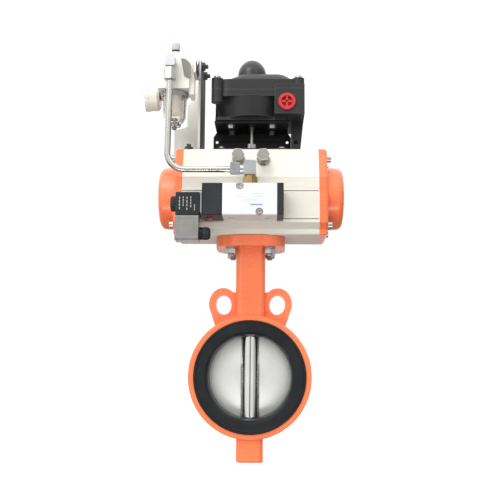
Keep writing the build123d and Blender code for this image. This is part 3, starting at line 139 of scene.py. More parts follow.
def edge_wear(tree, colour, worn_and_highlit, amount=0.35):
    """Lighten the edges, as rubbed wear and as a painted highlight: there a rounded normal leaves the true
    one.
    """
    rounded = tree.nodes.new("ShaderNodeBevel")
    rounded.samples = 4
    rounded.inputs["Radius"].default_value = 1.2 * MM
    geometry = tree.nodes.new("ShaderNodeNewGeometry")
    match = tree.nodes.new("ShaderNodeVectorMath")
    match.operation = "DOT_PRODUCT"
    tree.links.new(rounded.outputs["Normal"], match.inputs[0])
    tree.links.new(geometry.outputs["Normal"], match.inputs[1])
    # edges that take the paler colour: part rubbed wear, part painted highlight
    wear_and_highlight_mask = ramp(tree, match.outputs["Value"], 0.99, 0.88, 0.0, amount)
    return two_tone(tree, wear_and_highlight_mask, colour, worn_and_highlit)


def bump(tree, shader, layers):
    """Bump from (height, strength, distance) layers, one over the other."""
    normal = None
    for height, strength, distance in layers:
        node = tree.nodes.new("ShaderNodeBump")
        node.inputs["Strength"].default_value = strength
        node.inputs["Distance"].default_value = distance
        tree.links.new(height, node.inputs["Height"])
        if normal:
            tree.links.new(normal, node.inputs["Normal"])
        normal = node.outputs["Normal"]
    tree.links.new(normal, shader.inputs["Normal"])


def finish_material(name, dark, light, roughness, metallic=0.0, patch=30.0, grain=900.0, grain_depth=0.00003,
                    grain_strength=0.25, stretch=None, coat=0.0, edge_wear_and_highlight=None, specular=0.5):
    """A surface with slow colour variation, fine grain and uneven gloss."""
    mat, tree, shader, where = new_material(name)
    slow = noise(tree, where, patch)
    fine = noise(tree, where, grain, 3.0, stretch)
    colour = mottled(tree, slow, dark, light)
    # paler edges: part rubbed wear, part painted highlight
    if edge_wear_and_highlight:
        colour = edge_wear(tree, colour, edge_wear_and_highlight)
    tree.links.new(colour, shader.inputs["Base Color"])
    tree.links.new(spread(tree, fine, *roughness), shader.inputs["Roughness"])
    shader.inputs["Metallic"].default_value = metallic
    shader.inputs["Coat Weight"].default_value = coat
    shader.inputs["Coat Roughness"].default_value = 0.15
    shader.inputs["Specular IOR Level"].default_value = specular
    shader.inputs["IOR"].default_value = 1.45
    bump(tree, shader, [(fine, grain_strength, grain_depth)])
    return mat


def clear_material(name, tint, roughness, transmission):
    """A clear or smoked plastic or glass with slightly uneven tint and gloss."""
    mat, tree, shader, where = new_material(name)
    slow = noise(tree, where, 60.0)
    colour = mottled(tree, slow, [c * 0.93 for c in tint], tint)
    tree.links.new(colour, shader.inputs["Base Color"])
    tree.links.new(spread(tree, slow, *roughness), shader.inputs["Roughness"])
    shader.inputs["Transmission Weight"].default_value = transmission
    shader.inputs["IOR"].default_value = 1.5
    return mat


def cast_orange():
    """Orange powder coat over a casting: orange peel, faint flow marks, paler edges that are part rubbed wear
    and part painted highlight.
    """
    mat, tree, shader, where = new_material("orange_coat")
    slow = noise(tree, where, 14.0, 5.0)
    peel = noise(tree, where, 420.0, 2.0)
    cast = noise(tree, where, 70.0, 4.0)
    colour = mottled(tree, slow, (0.92, 0.180, 0.062), (0.97, 0.225, 0.086))
    # paler edges: part rubbed wear, part painted highlight
    colour = edge_wear(tree, colour, (0.95, 0.36, 0.20), 0.4)
    tree.links.new(colour, shader.inputs["Base Color"])
    tree.links.new(spread(tree, peel, 0.22, 0.32), shader.inputs["Roughness"])
    shader.inputs["Specular IOR Level"].default_value = 0.6
    bump(tree, shader, [(cast, 0.08, 0.0003), (peel, 0.08, 0.00008)])
    return mat


def disc_steel():
    """Polished hub, and satin faces that turning and polishing left with a faint radial grain."""
    mat, tree, shader, where = new_material("disc_steel")
    slow = noise(tree, where, 26.0)
    fine = noise(tree, where, 700.0, 3.0, (1.0, 1.0, 0.12))
    colour = mottled(tree, slow, (0.72, 0.72, 0.70), (0.82, 0.82, 0.79))
    tree.links.new(colour, shader.inputs["Base Color"])
    split = tree.nodes.new("ShaderNodeSeparateXYZ")
    tree.links.new(where, split.inputs["Vector"])
    reach = calc(tree, "ABSOLUTE", split.outputs["X"])
    hub_edge, face_start = 11.2 * MM, 13.0 * MM
    satin = ramp(tree, reach, hub_edge, face_start, 0.14, 0.48)
    tree.links.new(calc(tree, "ADD", satin, spread(tree, fine, -0.03, 0.04)), shader.inputs["Roughness"])
    shader.inputs["Metallic"].default_value = 1.0
    bump(tree, shader, [(fine, 0.12, 0.00001)])
    return mat


def sheet_steel():
    """Brushed sheet; its faces towards +X carry a painted dark reflection and are rougher."""
    mat, tree, shader, where = new_material("stainless_sheet")
    slow = noise(tree, where, 30.0)
    fine = noise(tree, where, 260.0, 3.0, (1.0, 1.0, 0.3))
    bright = mottled(tree, slow, (0.74, 0.74, 0.70), (0.78, 0.78, 0.745))
    # dark colour of the painted reflection on the faces towards +X
    painted_dark_reflection = mottled(tree, fine, (0.09, 0.09, 0.085), (0.16, 0.16, 0.15))
    coords = tree.nodes.new("ShaderNodeTexCoord")
    split = tree.nodes.new("ShaderNodeSeparateXYZ")
    tree.links.new(coords.outputs["Normal"], split.inputs["Vector"])
    # mask of the faces towards +X: it lays on the painted dark reflection and raises their roughness
    side = ramp(tree, split.outputs["X"], 0.6, 0.8, 0.0, 1.0)
    tree.links.new(two_tone(tree, side, bright, painted_dark_reflection), shader.inputs["Base Color"])
    rough = calc(tree, "ADD", side, spread(tree, fine, 0.27, 0.32), clamp=True)
    tree.links.new(rough, shader.inputs["Roughness"])
    shader.inputs["Metallic"].default_value = 0.55
    bump(tree, shader, [(noise(tree, where, 1200.0), 0.04, 0.00001)])
    return mat


# Opaque finishes: dark and light colour, lowest and highest roughness, and what differs from the usual.
FINISHES = {
    "epdm_rubber": ((0.009, 0.010, 0.012), (0.016, 0.018, 0.020), (0.30, 0.42),
        {"grain": 700.0, "grain_depth": 0.00004, "coat": 0.06, "specular": 0.25}),
    "nitrile_rubber": ((0.012, 0.012, 0.012), (0.02, 0.02, 0.02), (0.5, 0.65), {}),
    "stainless_polished": ((0.60, 0.60, 0.58), (0.72, 0.72, 0.70), (0.13, 0.22),
        {"metallic": 1.0, "grain": 240.0, "grain_depth": 0.00002, "stretch": (1.0, 1.0, 0.08)}),
    "stainless_turned": ((0.50, 0.49, 0.46), (0.66, 0.65, 0.62), (0.22, 0.36),
        {"metallic": 1.0, "patch": 160.0, "grain": 1400.0}),
    "stainless_tube": ((0.60, 0.59, 0.55), (0.69, 0.68, 0.63), (0.20, 0.27),
        {"metallic": 1.0, "patch": 70.0, "grain": 500.0, "grain_depth": 0.00001, "grain_strength": 0.03}),
    "bolt_black": ((0.05, 0.05, 0.05), (0.12, 0.12, 0.12), (0.28, 0.42), {"metallic": 0.9, "patch": 120.0}),
    "nickel_steel": ((0.42, 0.41, 0.38), (0.54, 0.53, 0.50), (0.28, 0.40), {"metallic": 1.0}),
    "ptfe_white": ((0.78, 0.77, 0.72), (0.86, 0.85, 0.80), (0.45, 0.6), {}),
    # its pale edge colour is part wear, part painted highlight
    "anodised_aluminium": ((0.76, 0.73, 0.64), (0.83, 0.80, 0.71), (0.40, 0.52),
        {"metallic": 0.30, "patch": 18.0, "grain": 1600.0,
         "grain_depth": 0.00005, "grain_strength": 0.4, "edge_wear_and_highlight": (0.95, 0.95, 0.93)}),
    "cast_aluminium": ((0.60, 0.60, 0.59), (0.70, 0.70, 0.69), (0.35, 0.5), {"metallic": 1.0}),
    "white_anodised": ((0.72, 0.73, 0.73), (0.78, 0.79, 0.79), (0.28, 0.38),
        {"metallic": 0.1, "grain": 1800.0, "coat": 0.15}),
    "black_plastic": ((0.016, 0.018, 0.022), (0.027, 0.029, 0.035), (0.36, 0.50),
        {"grain": 1500.0, "grain_depth": 0.00005, "specular": 0.35}),
    "red_plastic": ((0.55, 0.022, 0.024), (0.66, 0.032, 0.032), (0.30, 0.42), {"coat": 0.2}),
    "brass": ((0.36, 0.235, 0.10), (0.46, 0.32, 0.15), (0.22, 0.34), {"metallic": 1.0, "patch": 120.0}),
    "zinc_plate": ((0.50, 0.52, 0.53), (0.62, 0.64, 0.65), (0.26, 0.40),
        {"metallic": 0.9, "patch": 90.0, "grain": 1200.0}),
    "cream_plastic": ((0.82, 0.80, 0.70), (0.88, 0.86, 0.77), (0.26, 0.36), {"grain": 1300.0, "coat": 0.1}),
    "grey_plastic": ((0.19, 0.19, 0.17), (0.25, 0.245, 0.225), (0.4, 0.55), {}),
    "grey_knob": ((0.50, 0.49, 0.44), (0.60, 0.59, 0.54), (0.35, 0.5), {}),
    "black_coat": ((0.008, 0.008, 0.009), (0.014, 0.014, 0.015), (0.45, 0.6),
        {"grain": 1600.0, "grain_depth": 0.00005}),
    # its pale edge colour paints highlight lines along the case's edges
    "dark_grey_case": ((0.014, 0.014, 0.015), (0.023, 0.023, 0.024), (0.36, 0.50),
        {"patch": 22.0, "grain": 1500.0, "grain_depth": 0.00008,
         "grain_strength": 0.4, "edge_wear_and_highlight": (0.17, 0.17, 0.17)}),
    "dial_white": ((0.84, 0.84, 0.82), (0.90, 0.90, 0.88), (0.5, 0.6), {}),
    "print_black": ((0.015, 0.015, 0.015), (0.03, 0.03, 0.03), (0.5, 0.6), {}),
    "print_grey": ((0.36, 0.36, 0.36), (0.50, 0.50, 0.50), (0.5, 0.6), {}),
    "print_pale": ((0.55, 0.56, 0.58), (0.66, 0.67, 0.69), (0.5, 0.6), {}),
    "print_blue": ((0.10, 0.26, 0.55), (0.16, 0.36, 0.66), (0.4, 0.5), {}),
    "label_black": ((0.010, 0.011, 0.012), (0.016, 0.017, 0.018), (0.3, 0.4), {}),
}

# Clear ones: tint, lowest and highest roughness, transmission.
CLEAR = {
    "clear_bowl": ((0.93, 0.91, 0.85), (0.03, 0.08), 0.92),
    "gauge_glass": ((0.96, 0.97, 0.97), (0.02, 0.05), 0.97),
    "smoked_dome": ((0.05, 0.05, 0.052), (0.24, 0.32), 0.3),
    "smoked_plastic": ((0.34, 0.34, 0.33), (0.18, 0.28), 0.35),
    "collar_grey": ((0.52, 0.53, 0.52), (0.10, 0.18), 0.55),
}

MATERIALS = {name: finish_material(name, *row[:3], **row[3]) for name, row in FINISHES.items()}
MATERIALS.update({name: clear_material(name, *row) for name, row in CLEAR.items()})
MATERIALS.update({"orange_coat": cast_orange(), "stainless_sheet": sheet_steel(), "disc_steel": disc_steel()})

NODE_LOOK = {"disc": "disc_steel", "regulator_bolts": "bolt_black"}


def soften(piece, width):
    """Weld the split vertices and round the sharp edges, as a real edge is never sharp."""
    weld = piece.modifiers.new("weld", "WELD")
    weld.merge_threshold = 0.00001
    bevel = piece.modifiers.new("bevel", "BEVEL")
    bevel.width = width
    bevel.segments = 3
    bevel.limit_method = "ANGLE"
    bevel.angle_limit = math.radians(35)
    bevel.use_clamp_overlap = True
    normals = piece.modifiers.new("normals", "WEIGHTED_NORMAL")
    normals.keep_sharp = True


# Rounding of the kept CAD nodes' sharp edges, in millimetres.
EDGE_RADIUS = {
    "valve_body": 1.3, "seat_liner": 0.5, "disc": 0.25, "actuator_body": 0.5, "end_cap_left": 1.0,
    "end_cap_right": 1.0, "solenoid_body": 0.5, "pilot_block": 0.6, "valve_end_cover": 0.6,
    "coil_connector": 0.7, "regulator_body": 1.6, "regulator_side_panel": 0.35,
    "gauge_body": 0.9, "gauge_lens": 0.4, "switch_bracket": 0.35, "switch_box_base": 1.0,
    "switch_box_cover": 1.2, "conduit_plug": 0.5, "tube_elbows": 0.6, "regulator_bolts": 0.3,
    "bracket_screws": 0.3, "override_button": 0.3, "pinion": 0.3,
}

for row in frame["record"]["subparts"]:
    piece = nodes[row["node"]]
    piece.data.materials.clear()
    piece.data.materials.append(MATERIALS[NODE_LOOK.get(row["node"], row["material_slot"])])
    if row["node"] in EDGE_RADIUS:
        soften(piece, EDGE_RADIUS[row["node"]] * MM)


# ---------------------------------------------------------------- mesh tools
# CAD sizes in millimetres. Threads are (radius, pitch), a little under size for clearance.
M8, M6, M5 = (3.98, 1.25), (2.98, 1.0), (2.48, 0.8)
AIR_Y = -75
COIL_YZ = (-80, 212.3)
REGULATOR_XY = (-100, -43)
GAUGE_YZ = (-24, 370)
LABEL_ROOM = 0.4
RISER = {"foot_x": -105.5, "top_x": -103.0, "straight_from": 370.0}


def axes_at(origin, axis, twist=0.0):
    """Local Z along axis at origin (millimetres), turned by twist degrees about it."""
    turn = Vector(axis).normalized().to_track_quat("Z", "Y").to_matrix().to_4x4()
    return Matrix.Translation(Vector(origin) * MM) @ turn @ Matrix.Rotation(math.radians(twist), 4, "Z")


def new_piece(name, bm, look, body="housing", stands_for=(), sharp=35.0):
    """Make the mesh a shown piece that rides on body and may stand for hidden CAD nodes."""
    mesh = bpy.data.meshes.new(name)
    bmesh.ops.recalc_face_normals(bm, faces=bm.faces)
    bm.to_mesh(mesh)
    bm.free()
    mesh.shade_smooth()
    mesh.set_sharp_from_angle(angle=math.radians(sharp))
    mesh.materials.append(MATERIALS[look])
    made = bpy.data.objects.new(name, mesh)
    scene.collection.objects.link(made)
    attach(made, body)
    if stands_for:
        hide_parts(*stands_for)
    return made


def join_rings(bm, rings):
    """Skin neighbouring rings; a ring of one vertex closes to a point."""
    for low, high in zip(rings, rings[1:]):
        count = max(len(low), len(high))
        for i in range(count):
            j = (i + 1) % count
            if len(low) == 1:
                bm.faces.new((low[0], high[i], high[j]))
            elif len(high) == 1:
                bm.faces.new((low[i], low[j], high[0]))
            else:
                bm.faces.new((low[i], low[j], high[j], high[i]))


def lathe(bm, at, profile, segments=40, shape=None, closed=False):
    """Turn (radius, height) points in millimetres about local Z; shape may ripple the radius."""
    rings = []
    for radius, height in profile:
        if radius == 0:
            rings.append([bm.verts.new(at @ Vector((0, 0, height * MM)))])
            continue
        ring = []
        for i in range(segments):
            angle = 2 * math.pi * i / segments
            reach = (shape(radius, angle) if shape else radius) * MM
            ring.append(bm.verts.new(at @ Vector((
                reach * math.cos(angle), reach * math.sin(angle), height * MM))))
        rings.append(ring)
    if closed:
        rings.append(rings[0])
    join_rings(bm, rings)


def hex_reach(flats, angle):
    """Distance from the centre of a hexagon to its side at this angle."""
    return flats / 2 / math.cos((angle + math.pi / 6) % (math.pi / 3) - math.pi / 6)


def hex_prism(bm, at, flats, low, high, hole=0.0, both_ends=True):
    """A hexagon nut or head with its corners turned off to 30 degrees at the ends."""
    segments = 48
    inscribed = flats * 0.48
    slope = 0.577
    rings = []

    def ring(reach_of, height_of):
        made = []
        for i in range(segments):
            angle = 2 * math.pi * i / segments
            reach = reach_of(angle)
            made.append(bm.verts.new(at @ Vector((
                reach * math.cos(angle) * MM, reach * math.sin(angle) * MM, height_of(reach) * MM))))
        rings.append(made)

    def corner(angle):
        return hex_reach(flats, angle)

    def drop(reach):
        return (reach - inscribed) * slope

    if hole:
        ring(lambda a: hole, lambda r: low)
    else:
        rings.append([bm.verts.new(at @ Vector((0, 0, low * MM)))])
    if both_ends:
        ring(lambda a: inscribed, lambda r: low)
        ring(corner, lambda r: low + drop(r))
    else:
        ring(corner, lambda r: low)
    ring(corner, lambda r: high - drop(r))
    ring(lambda a: inscribed, lambda r: high)
    if hole:
        ring(lambda a: hole, lambda r: high)
        rings.append(rings[0])
    else:
        rings.append([bm.verts.new(at @ Vector((0, 0, high * MM)))])
    join_rings(bm, rings)


def thread_profile(radius, pitch, low, high):
    """Turned rings that stand for a thread, with a chamfer at each end."""
    points = [(0, low), (radius - 0.7 * pitch, low), (radius, low + 0.6 * pitch)]
    height = low + 0.6 * pitch
    while height + pitch < high - 0.6 * pitch:
        points += [(radius - 0.55 * pitch, height + pitch / 2), (radius, height + pitch)]
        height += pitch
    return points + [(radius, high - 0.6 * pitch), (radius - 0.7 * pitch, high), (0, high)]


def cap_screw(bm, at, head, height, socket, depth):
    """A socket head: chamfered rim, hexagon socket, cone at its floor."""
    segments = 36
    rim = head - 0.4
    lathe(bm, at, [(head * 0.35, 0.0), (head, 0.0), (head, height - 0.4), (rim, height)], segments)
    rings = []
    for reach_of, level in (
        (lambda a: rim, height), (lambda a: hex_reach(socket, a), height),
        (lambda a: hex_reach(socket, a), height - depth), (None, height - depth - 0.6),
    ):
        if reach_of is None:
            rings.append([bm.verts.new(at @ Vector((0, 0, level * MM)))])
            continue
        rings.append([
            bm.verts.new(at @ Vector((
                reach_of(a) * math.cos(a) * MM, reach_of(a) * math.sin(a) * MM, level * MM)))
            for a in (2 * math.pi * i / segments for i in range(segments))
        ])
    join_rings(bm, rings)


def front_of(node, forward=0.0):
    """Frame at the centre of a CAD node's front face, local Z pointing out of it."""
    low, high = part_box(node)
    centre = ((low[0] + high[0]) / 2, low[1] - forward * MM, (low[2] + high[2]) / 2)
    return Matrix.Translation(centre) @ Matrix.Rotation(math.radians(90), 4, "X")


def slab(bm, at, width, height, thickness, corner=0.6):
    """A thin plate with rounded corners, lying on local XY and centred."""
    outline = []
    for sx, sy, start in ((1, 1, 0), (-1, 1, 90), (-1, -1, 180), (1, -1, 270)):
        for step in range(4):
            angle = math.radians(start + 30 * step)
            outline.append((
                sx * (width / 2 - corner) + corner * math.cos(angle),
                sy * (height / 2 - corner) + corner * math.sin(angle)))
    low = [bm.verts.new(at @ Vector((x * MM, y * MM, 0))) for x, y in outline]
    high = [bm.verts.new(at @ Vector((x * MM, y * MM, thickness * MM))) for x, y in outline]
    bm.faces.new(list(reversed(low)))
    bm.faces.new(high)
    join_rings(bm, [low, high])


# ---------------------------------------------------------------- fasteners
def flange_fasteners():
    """Studs and hexagon nuts with washers under the top flange, on its 70 mm bolt circle."""
    offset = 24.75
    studs, nuts = bmesh.new(), bmesh.new()
    low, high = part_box("flange_studs")
    for x in (-offset, offset):
        for y in (-offset, offset):
            at = axes_at((x, y, 0), (0, 0, 1), 12 if x > 0 else 40)
            lathe(studs, at, thread_profile(*M8, low[2] / MM, high[2] / MM), 24)
            hex_prism(nuts, at, 13.0, 157.75, 164.45, hole=4.05)
            washer = [(4.3, 164.55), (7.95, 164.55), (7.95, 165.9), (4.3, 165.9)]
            lathe(nuts, at, washer, 36, closed=True)
    new_piece("stud_threads", studs, "zinc_plate", stands_for=("flange_studs",))
    new_piece("stud_nuts", nuts, "zinc_plate", stands_for=("flange_nuts",), sharp=20)


def stop_fasteners():
    """Travel stop screws of the actuator and their lock nuts."""
    screws, nuts = bmesh.new(), bmesh.new()
    height = 280
    for x, head_turn, nut_turn in ((-16, 26, 30), (16, 36, 33)):
        place = (x, 0, height)
        lathe(screws, axes_at(place, (0, -1, 0)), thread_profile(*M8, 10.4, 60.0), 28)
        hex_prism(screws, axes_at(place, (0, -1, 0), head_turn), 14.3, 60.0, 65.4, both_ends=False)
        hex_prism(nuts, axes_at(place, (0, -1, 0), nut_turn), 15.3, 38.05, 44.4, hole=4.05)
    new_piece("stop_screw_threads", screws, "nickel_steel",
              stands_for=("stop_screws",), sharp=20)
    new_piece("stop_lock_nuts", nuts, "nickel_steel", stands_for=("stop_nuts",), sharp=20)


def socket_screws():
    """Socket head screws of the end caps, the solenoid valve and the switch box cover."""
    caps = bmesh.new()
    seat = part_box("end_cap_screws")[1][0] / MM - 6
    shank = 26
    for side in (-1, 1):
        for y, z in ((24, 284), (-24, 284), (36, 193.5), (-36, 193.5)):
            cap_screw(caps, axes_at((side * seat, y, z), (side, 0, 0), y), 4.95, 5.95, 5.0, 3.0)
            foot = axes_at((side * (seat - shank), y, z), (side, 0, 0))
            lathe(caps, foot, thread_profile(*M6, 0, shank), 24)
    new_piece("cap_screw_heads", caps, "stainless_turned",
              stands_for=("end_cap_screws",))
    small = bmesh.new()
    for x, z in ((-12, 232.3), (12, 200.3)):
        cap_screw(small, axes_at((x, -90, z), (0, -1, 0), 20), 4.25, 4.55, 4.0, 2.4)
        lathe(small, axes_at((x, -44.2, z), (0, -1, 0)), thread_profile(*M5, 0, 45.8), 24)
    new_piece("valve_screw_heads", small, "stainless_turned",
              stands_for=("solenoid_screws",))
    lids = bmesh.new()
    for x in (-44.7, 61.8):
        for y in (-42, 42):
            cap_screw(lids, axes_at((x, y, 387.05), (0, 0, 1), x), 4.45, 3.95, 4.0, 2.2)
            lathe(lids, axes_at((x, y, 361.1), (0, 0, 1)), thread_profile(*M5, 0, 26), 24)
    new_piece("cover_screw_heads", lids, "stainless_turned",
              stands_for=("cover_screws",))


def line_fittings():
    """Union nuts, brass nipple and gauge stem of the air line, with sealing tape at the threads."""
    nuts = bmesh.new()
    low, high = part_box("tube_nuts")
    corner = 7.0 / math.cos(math.pi / 6)
    flat = axes_at((-25, AIR_Y, low[2] / MM + corner), (1, 0, 0), 8)
    hex_prism(nuts, flat, 13.9, 0.0, 12.4, hole=4.1)
    upright = axes_at((low[0] / MM + corner, AIR_Y, high[2] / MM - 16), (0, 0, 1), 18)
    hex_prism(nuts, upright, 13.9, 0.0, 15.9, hole=4.1)
    new_piece("union_nuts", nuts, "zinc_plate", stands_for=("tube_nuts",), sharp=20)
    brass = bmesh.new()
    nipple = axes_at((0, AIR_Y, 0), (0, 0, 1), 14)
    hex_prism(brass, nipple, 16.9, 236.05, 247.6)
    lathe(brass, nipple, [(7.6, 247.5), (7.6, 249.2), (6.6, 250.0), (5.0, 250.0), (5.0, 255.9)], 36)
    lathe(brass, nipple, thread_profile(6.45, 1.3, 227.1, 236.1), 28)
    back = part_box("gauge_body")[1][0] / MM + 0.1
    stem = axes_at((back, *GAUGE_YZ), (1, 0, 0))
    hex_prism(brass, stem, 11.9, 0.05, -120.15 - back)
    lathe(brass, stem, [(0, -2.9), (3.95, -2.9), (3.95, -115.1 - back), (0, -115.1 - back)], 24)
    new_piece("brass_threads", brass, "brass", stands_for=("brass_fittings",), sharp=20)
    tape = bmesh.new()
    lathe(tape, nipple, [(6.5, 235.3), (7.0, 235.6), (6.9, 236.0), (7.05, 236.4), (6.5, 236.6)], 40,
          shape=lambda r, a: r + 0.12 * math.sin(7 * a + r))
    new_piece("sealing_tape", tape, "ptfe_white")


def ribbed(count, depth):
    """A shape for lathe with count grooves of this depth round it."""
    def shape(radius, angle):
        return radius - depth * (0.5 + 0.5 * math.cos(count * angle)) ** 2
    return shape


def coil_fittings():
    """The coil's ribbed nut and the ribbed cable gland of its connector."""
    nut = bmesh.new()
    at = axes_at((-90.75, *COIL_YZ), (-1, 0, 0))
    lathe(nut, at, [(5.1, 0), (8.8, 0), (9.1, 0.5), (9.1, 1.0)], 120)
    lathe(nut, at, [(9.1, 1.0), (9.65, 1.3), (9.65, 6.0), (9.1, 6.6), (8.2, 7.0)], 120, ribbed(20, 0.7))
    lathe(nut, at, [(8.2, 7.0), (5.4, 7.0), (5.4, 6.2), (0, 6.2)], 120)
    new_piece("coil_nut_ribs", nut, "black_plastic", stands_for=("coil_nut",))
    gland = bmesh.new()
    at = axes_at((-62.4, COIL_YZ[0], 175.2), (1, 0, 0))
    foot = [(3.5, -2.2), (5.9, -2.2), (5.9, 0.0), (7.3, 0.0), (7.9, 0.6), (7.9, 3.2), (7.3, 3.7)]
    lathe(gland, at, foot, 96)
    lathe(gland, at, [(7.3, 3.7), (7.7, 4.1), (7.9, 5.0), (7.9, 10.6), (7.2, 12.2)], 96, ribbed(16, 0.55))
    lathe(gland, at, [(7.2, 12.2), (5.8, 13.7), (4.6, 14.0), (3.5, 14.0), (3.5, -2.2)], 96)
    new_piece("gland_ribs", gland, "black_plastic", stands_for=("connector_gland",))


def regulator_details():
    """Ribbed knob with its black lock band, and the grip of the bowl's collar."""
    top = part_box("regulator_knob")[1][2] / MM
    knob = bmesh.new()
    at = axes_at((*REGULATOR_XY, 0), (0, 0, 1))
    lathe(knob, at, [(0, top - 25), (3, top - 25), (3, top - 14), (5.2, top - 14), (5.5, top - 13.6),
                     (5.5, top - 12.2), (5.0, top - 12.0)], 96)
    lathe(knob, at, [(5.0, top - 9.6), (5.6, top - 9.4), (5.85, top - 8.8), (5.75, top - 1.4),
                     (5.3, top - 0.7)], 96, ribbed(24, 0.25))
    lathe(knob, at, [(5.3, top - 0.7), (4.6, top - 0.1), (4.0, top), (0, top)], 96)
    new_piece("knob_ribs", knob, "grey_knob", "regulator_knob", ("regulator_knob",))
    band = bmesh.new()
    lathe(band, at, [(4.6, top - 12.2), (5.15, top - 12.0), (5.15, top - 9.6), (4.6, top - 9.4)], 64)
    new_piece("knob_lock_band", band, "black_plastic", "regulator_knob")
    grip = bmesh.new()
    low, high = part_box("bowl_collar")
    base, crown = low[2] / MM, high[2] / MM
    lathe(grip, at, [(16.5, base), (17.2, base), (17.85, base + 0.6)], 144)
    lathe(grip, at, [(17.85, base + 0.6), (17.85, crown - 1.2)], 144, ribbed(36, 0.35))
    lathe(grip, at, [(17.85, crown - 1.2), (17.4, crown - 0.6), (17.4, crown), (16.5, crown),
                     (16.5, base)], 144)
    new_piece("collar_grip", grip, "collar_grey", stands_for=("bowl_collar",))


def gauge_dial():
    """White dial with a 270 degree scale from 0 to 10, behind the pointer."""
    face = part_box("gauge_lens")[0][0] + 4.9 * MM
    across, up = GAUGE_YZ
    place = Matrix(((0, 0, -1, face), (-1, 0, 0, across * MM), (0, 1, 0, up * MM), (0, 0, 0, 1)))
    dial = bmesh.new()
    lathe(dial, place, [(0, 0.0), (18.9, 0.0), (18.9, -0.4), (0, -0.4)], 64)
    new_piece("dial_plate", dial, "dial_white")
    marks = bmesh.new()
    zero, steps, rim, figures = 225, 50, 17.6, 12.2
    for step in range(steps + 1):
        angle = math.radians(zero - 5.4 * step)
        long = step % 5 == 0
        reach = 15.4 if long else 16.4
        middle = Matrix.Translation(((reach + rim) / 2 * MM, 0, 0.01 * MM))
        at = place @ Matrix.Rotation(angle, 4, "Z") @ middle
        slab(marks, at, rim - reach, 0.55 if long else 0.3, 0.08, 0.05)
    new_piece("dial_marks", marks, "print_black")
    for number in range(0, 11, 2):
        angle = math.radians(zero - 27 * number)
        text = bpy.data.curves.new("dial_number_%d" % number, "FONT")
        text.body = str(number)
        text.size = 4.2 * MM
        text.align_x = "CENTER"
        text.align_y = "CENTER"
        text.extrude = 0.04 * MM
        text.materials.append(MATERIALS["print_black"])
        figure = bpy.data.objects.new("dial_number_%d" % number, text)
        scene.collection.objects.link(figure)
        figure.matrix_world = place @ Matrix.Translation((
            figures * MM * math.cos(angle), figures * MM * math.sin(angle), 0.08 * MM))
        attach(figure, "housing")


def sweep(bm, path, radius, segments=32):
    """A round bar along path, whose points lie in one plane square to Y."""
    rings = []
    for i, point in enumerate(path):
        ahead = path[min(i + 1, len(path) - 1)] - path[max(i - 1, 0)]
        side = ahead.normalized().cross(Vector((0, 1, 0)))
        rings.append([
            bm.verts.new((point + side * radius * math.cos(a) + Vector((0, radius * math.sin(a), 0))) * MM)
            for a in (2 * math.pi * k / segments for k in range(segments))
        ])
    rings.insert(0, [bm.verts.new(path[0] * MM)])
    rings.append([bm.verts.new(path[-1] * MM)])
    join_rings(bm, rings)


def formed_tube():
    """The stainless air line: level run, drawn bend, and a riser that leans in to its elbow."""
    low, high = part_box("air_tube")
    radius = (high[1] - low[1]) / MM / 2
    middle = (low[1] + high[1]) / MM / 2
    level = low[2] / MM + radius
    foot = low[0] / MM + radius
    top, top_x, straight = high[2] / MM, RISER["top_x"], RISER["straight_from"]
    bend = 22.0
    lean = (top_x - RISER["foot_x"]) / (straight - level)
    path = [Vector((high[0] / MM, middle, level)), Vector((foot + bend + 10, middle, level))]
    for step in range(17):
        angle = math.radians(90 * step / 16)
        path.append(Vector((
            foot + bend - bend * math.sin(angle) + lean * bend * (1 - math.cos(angle)), middle,
            level + bend - bend * math.cos(angle))))
    path += [Vector((top_x, middle, straight)), Vector((top_x, middle, top))]
    tube = bmesh.new()
    sweep(tube, path, radius - 0.02)
    new_piece("formed_tube", tube, "stainless_tube", stands_for=("air_tube",), sharp=60)


def extrusion_lines():
    """Fine raised lines that the die leaves along the actuator, where its flats meet."""
    lines = bmesh.new()
    low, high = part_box("actuator_body")
    length = (high[0] - low[0]) / MM - 1.0
    for side in (-1, 1):
        turn = Matrix.Rotation(math.radians(90 if side < 0 else -90), 4, "X")
        for y, z, tall in ((47.0, 254.2, 1.0), (47.0, 238.0, 0.7), (52.0, 235.4, 0.8), (52.0, 199.2, 0.8)):
            at = Matrix.Translation((0, side * (y - 0.1) * MM, z * MM)) @ turn
            slab(lines, at, length, tall, 0.3 if y < 50 else 0.1, 0.15)
    new_piece("extrusion_lines", lines, "anodised_aluminium")


def plug_cross():
    """The moulded cross in the recess of the red plug, for a screwdriver."""
    low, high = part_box("conduit_plug")
    middle = (low + high) / 2
    cross = bmesh.new()
    recess = 2.2
    at = Matrix.Translation((middle[0], low[1] + recess * MM, middle[2])) @ Matrix.Rotation(
        math.radians(90), 4, "X")
    for turn in (0, 90):
        slab(cross, at @ Matrix.Rotation(math.radians(turn), 4, "Z"), 14.0, 2.6, 1.0, 0.4)
    new_piece("plug_cross", cross, "red_plastic")


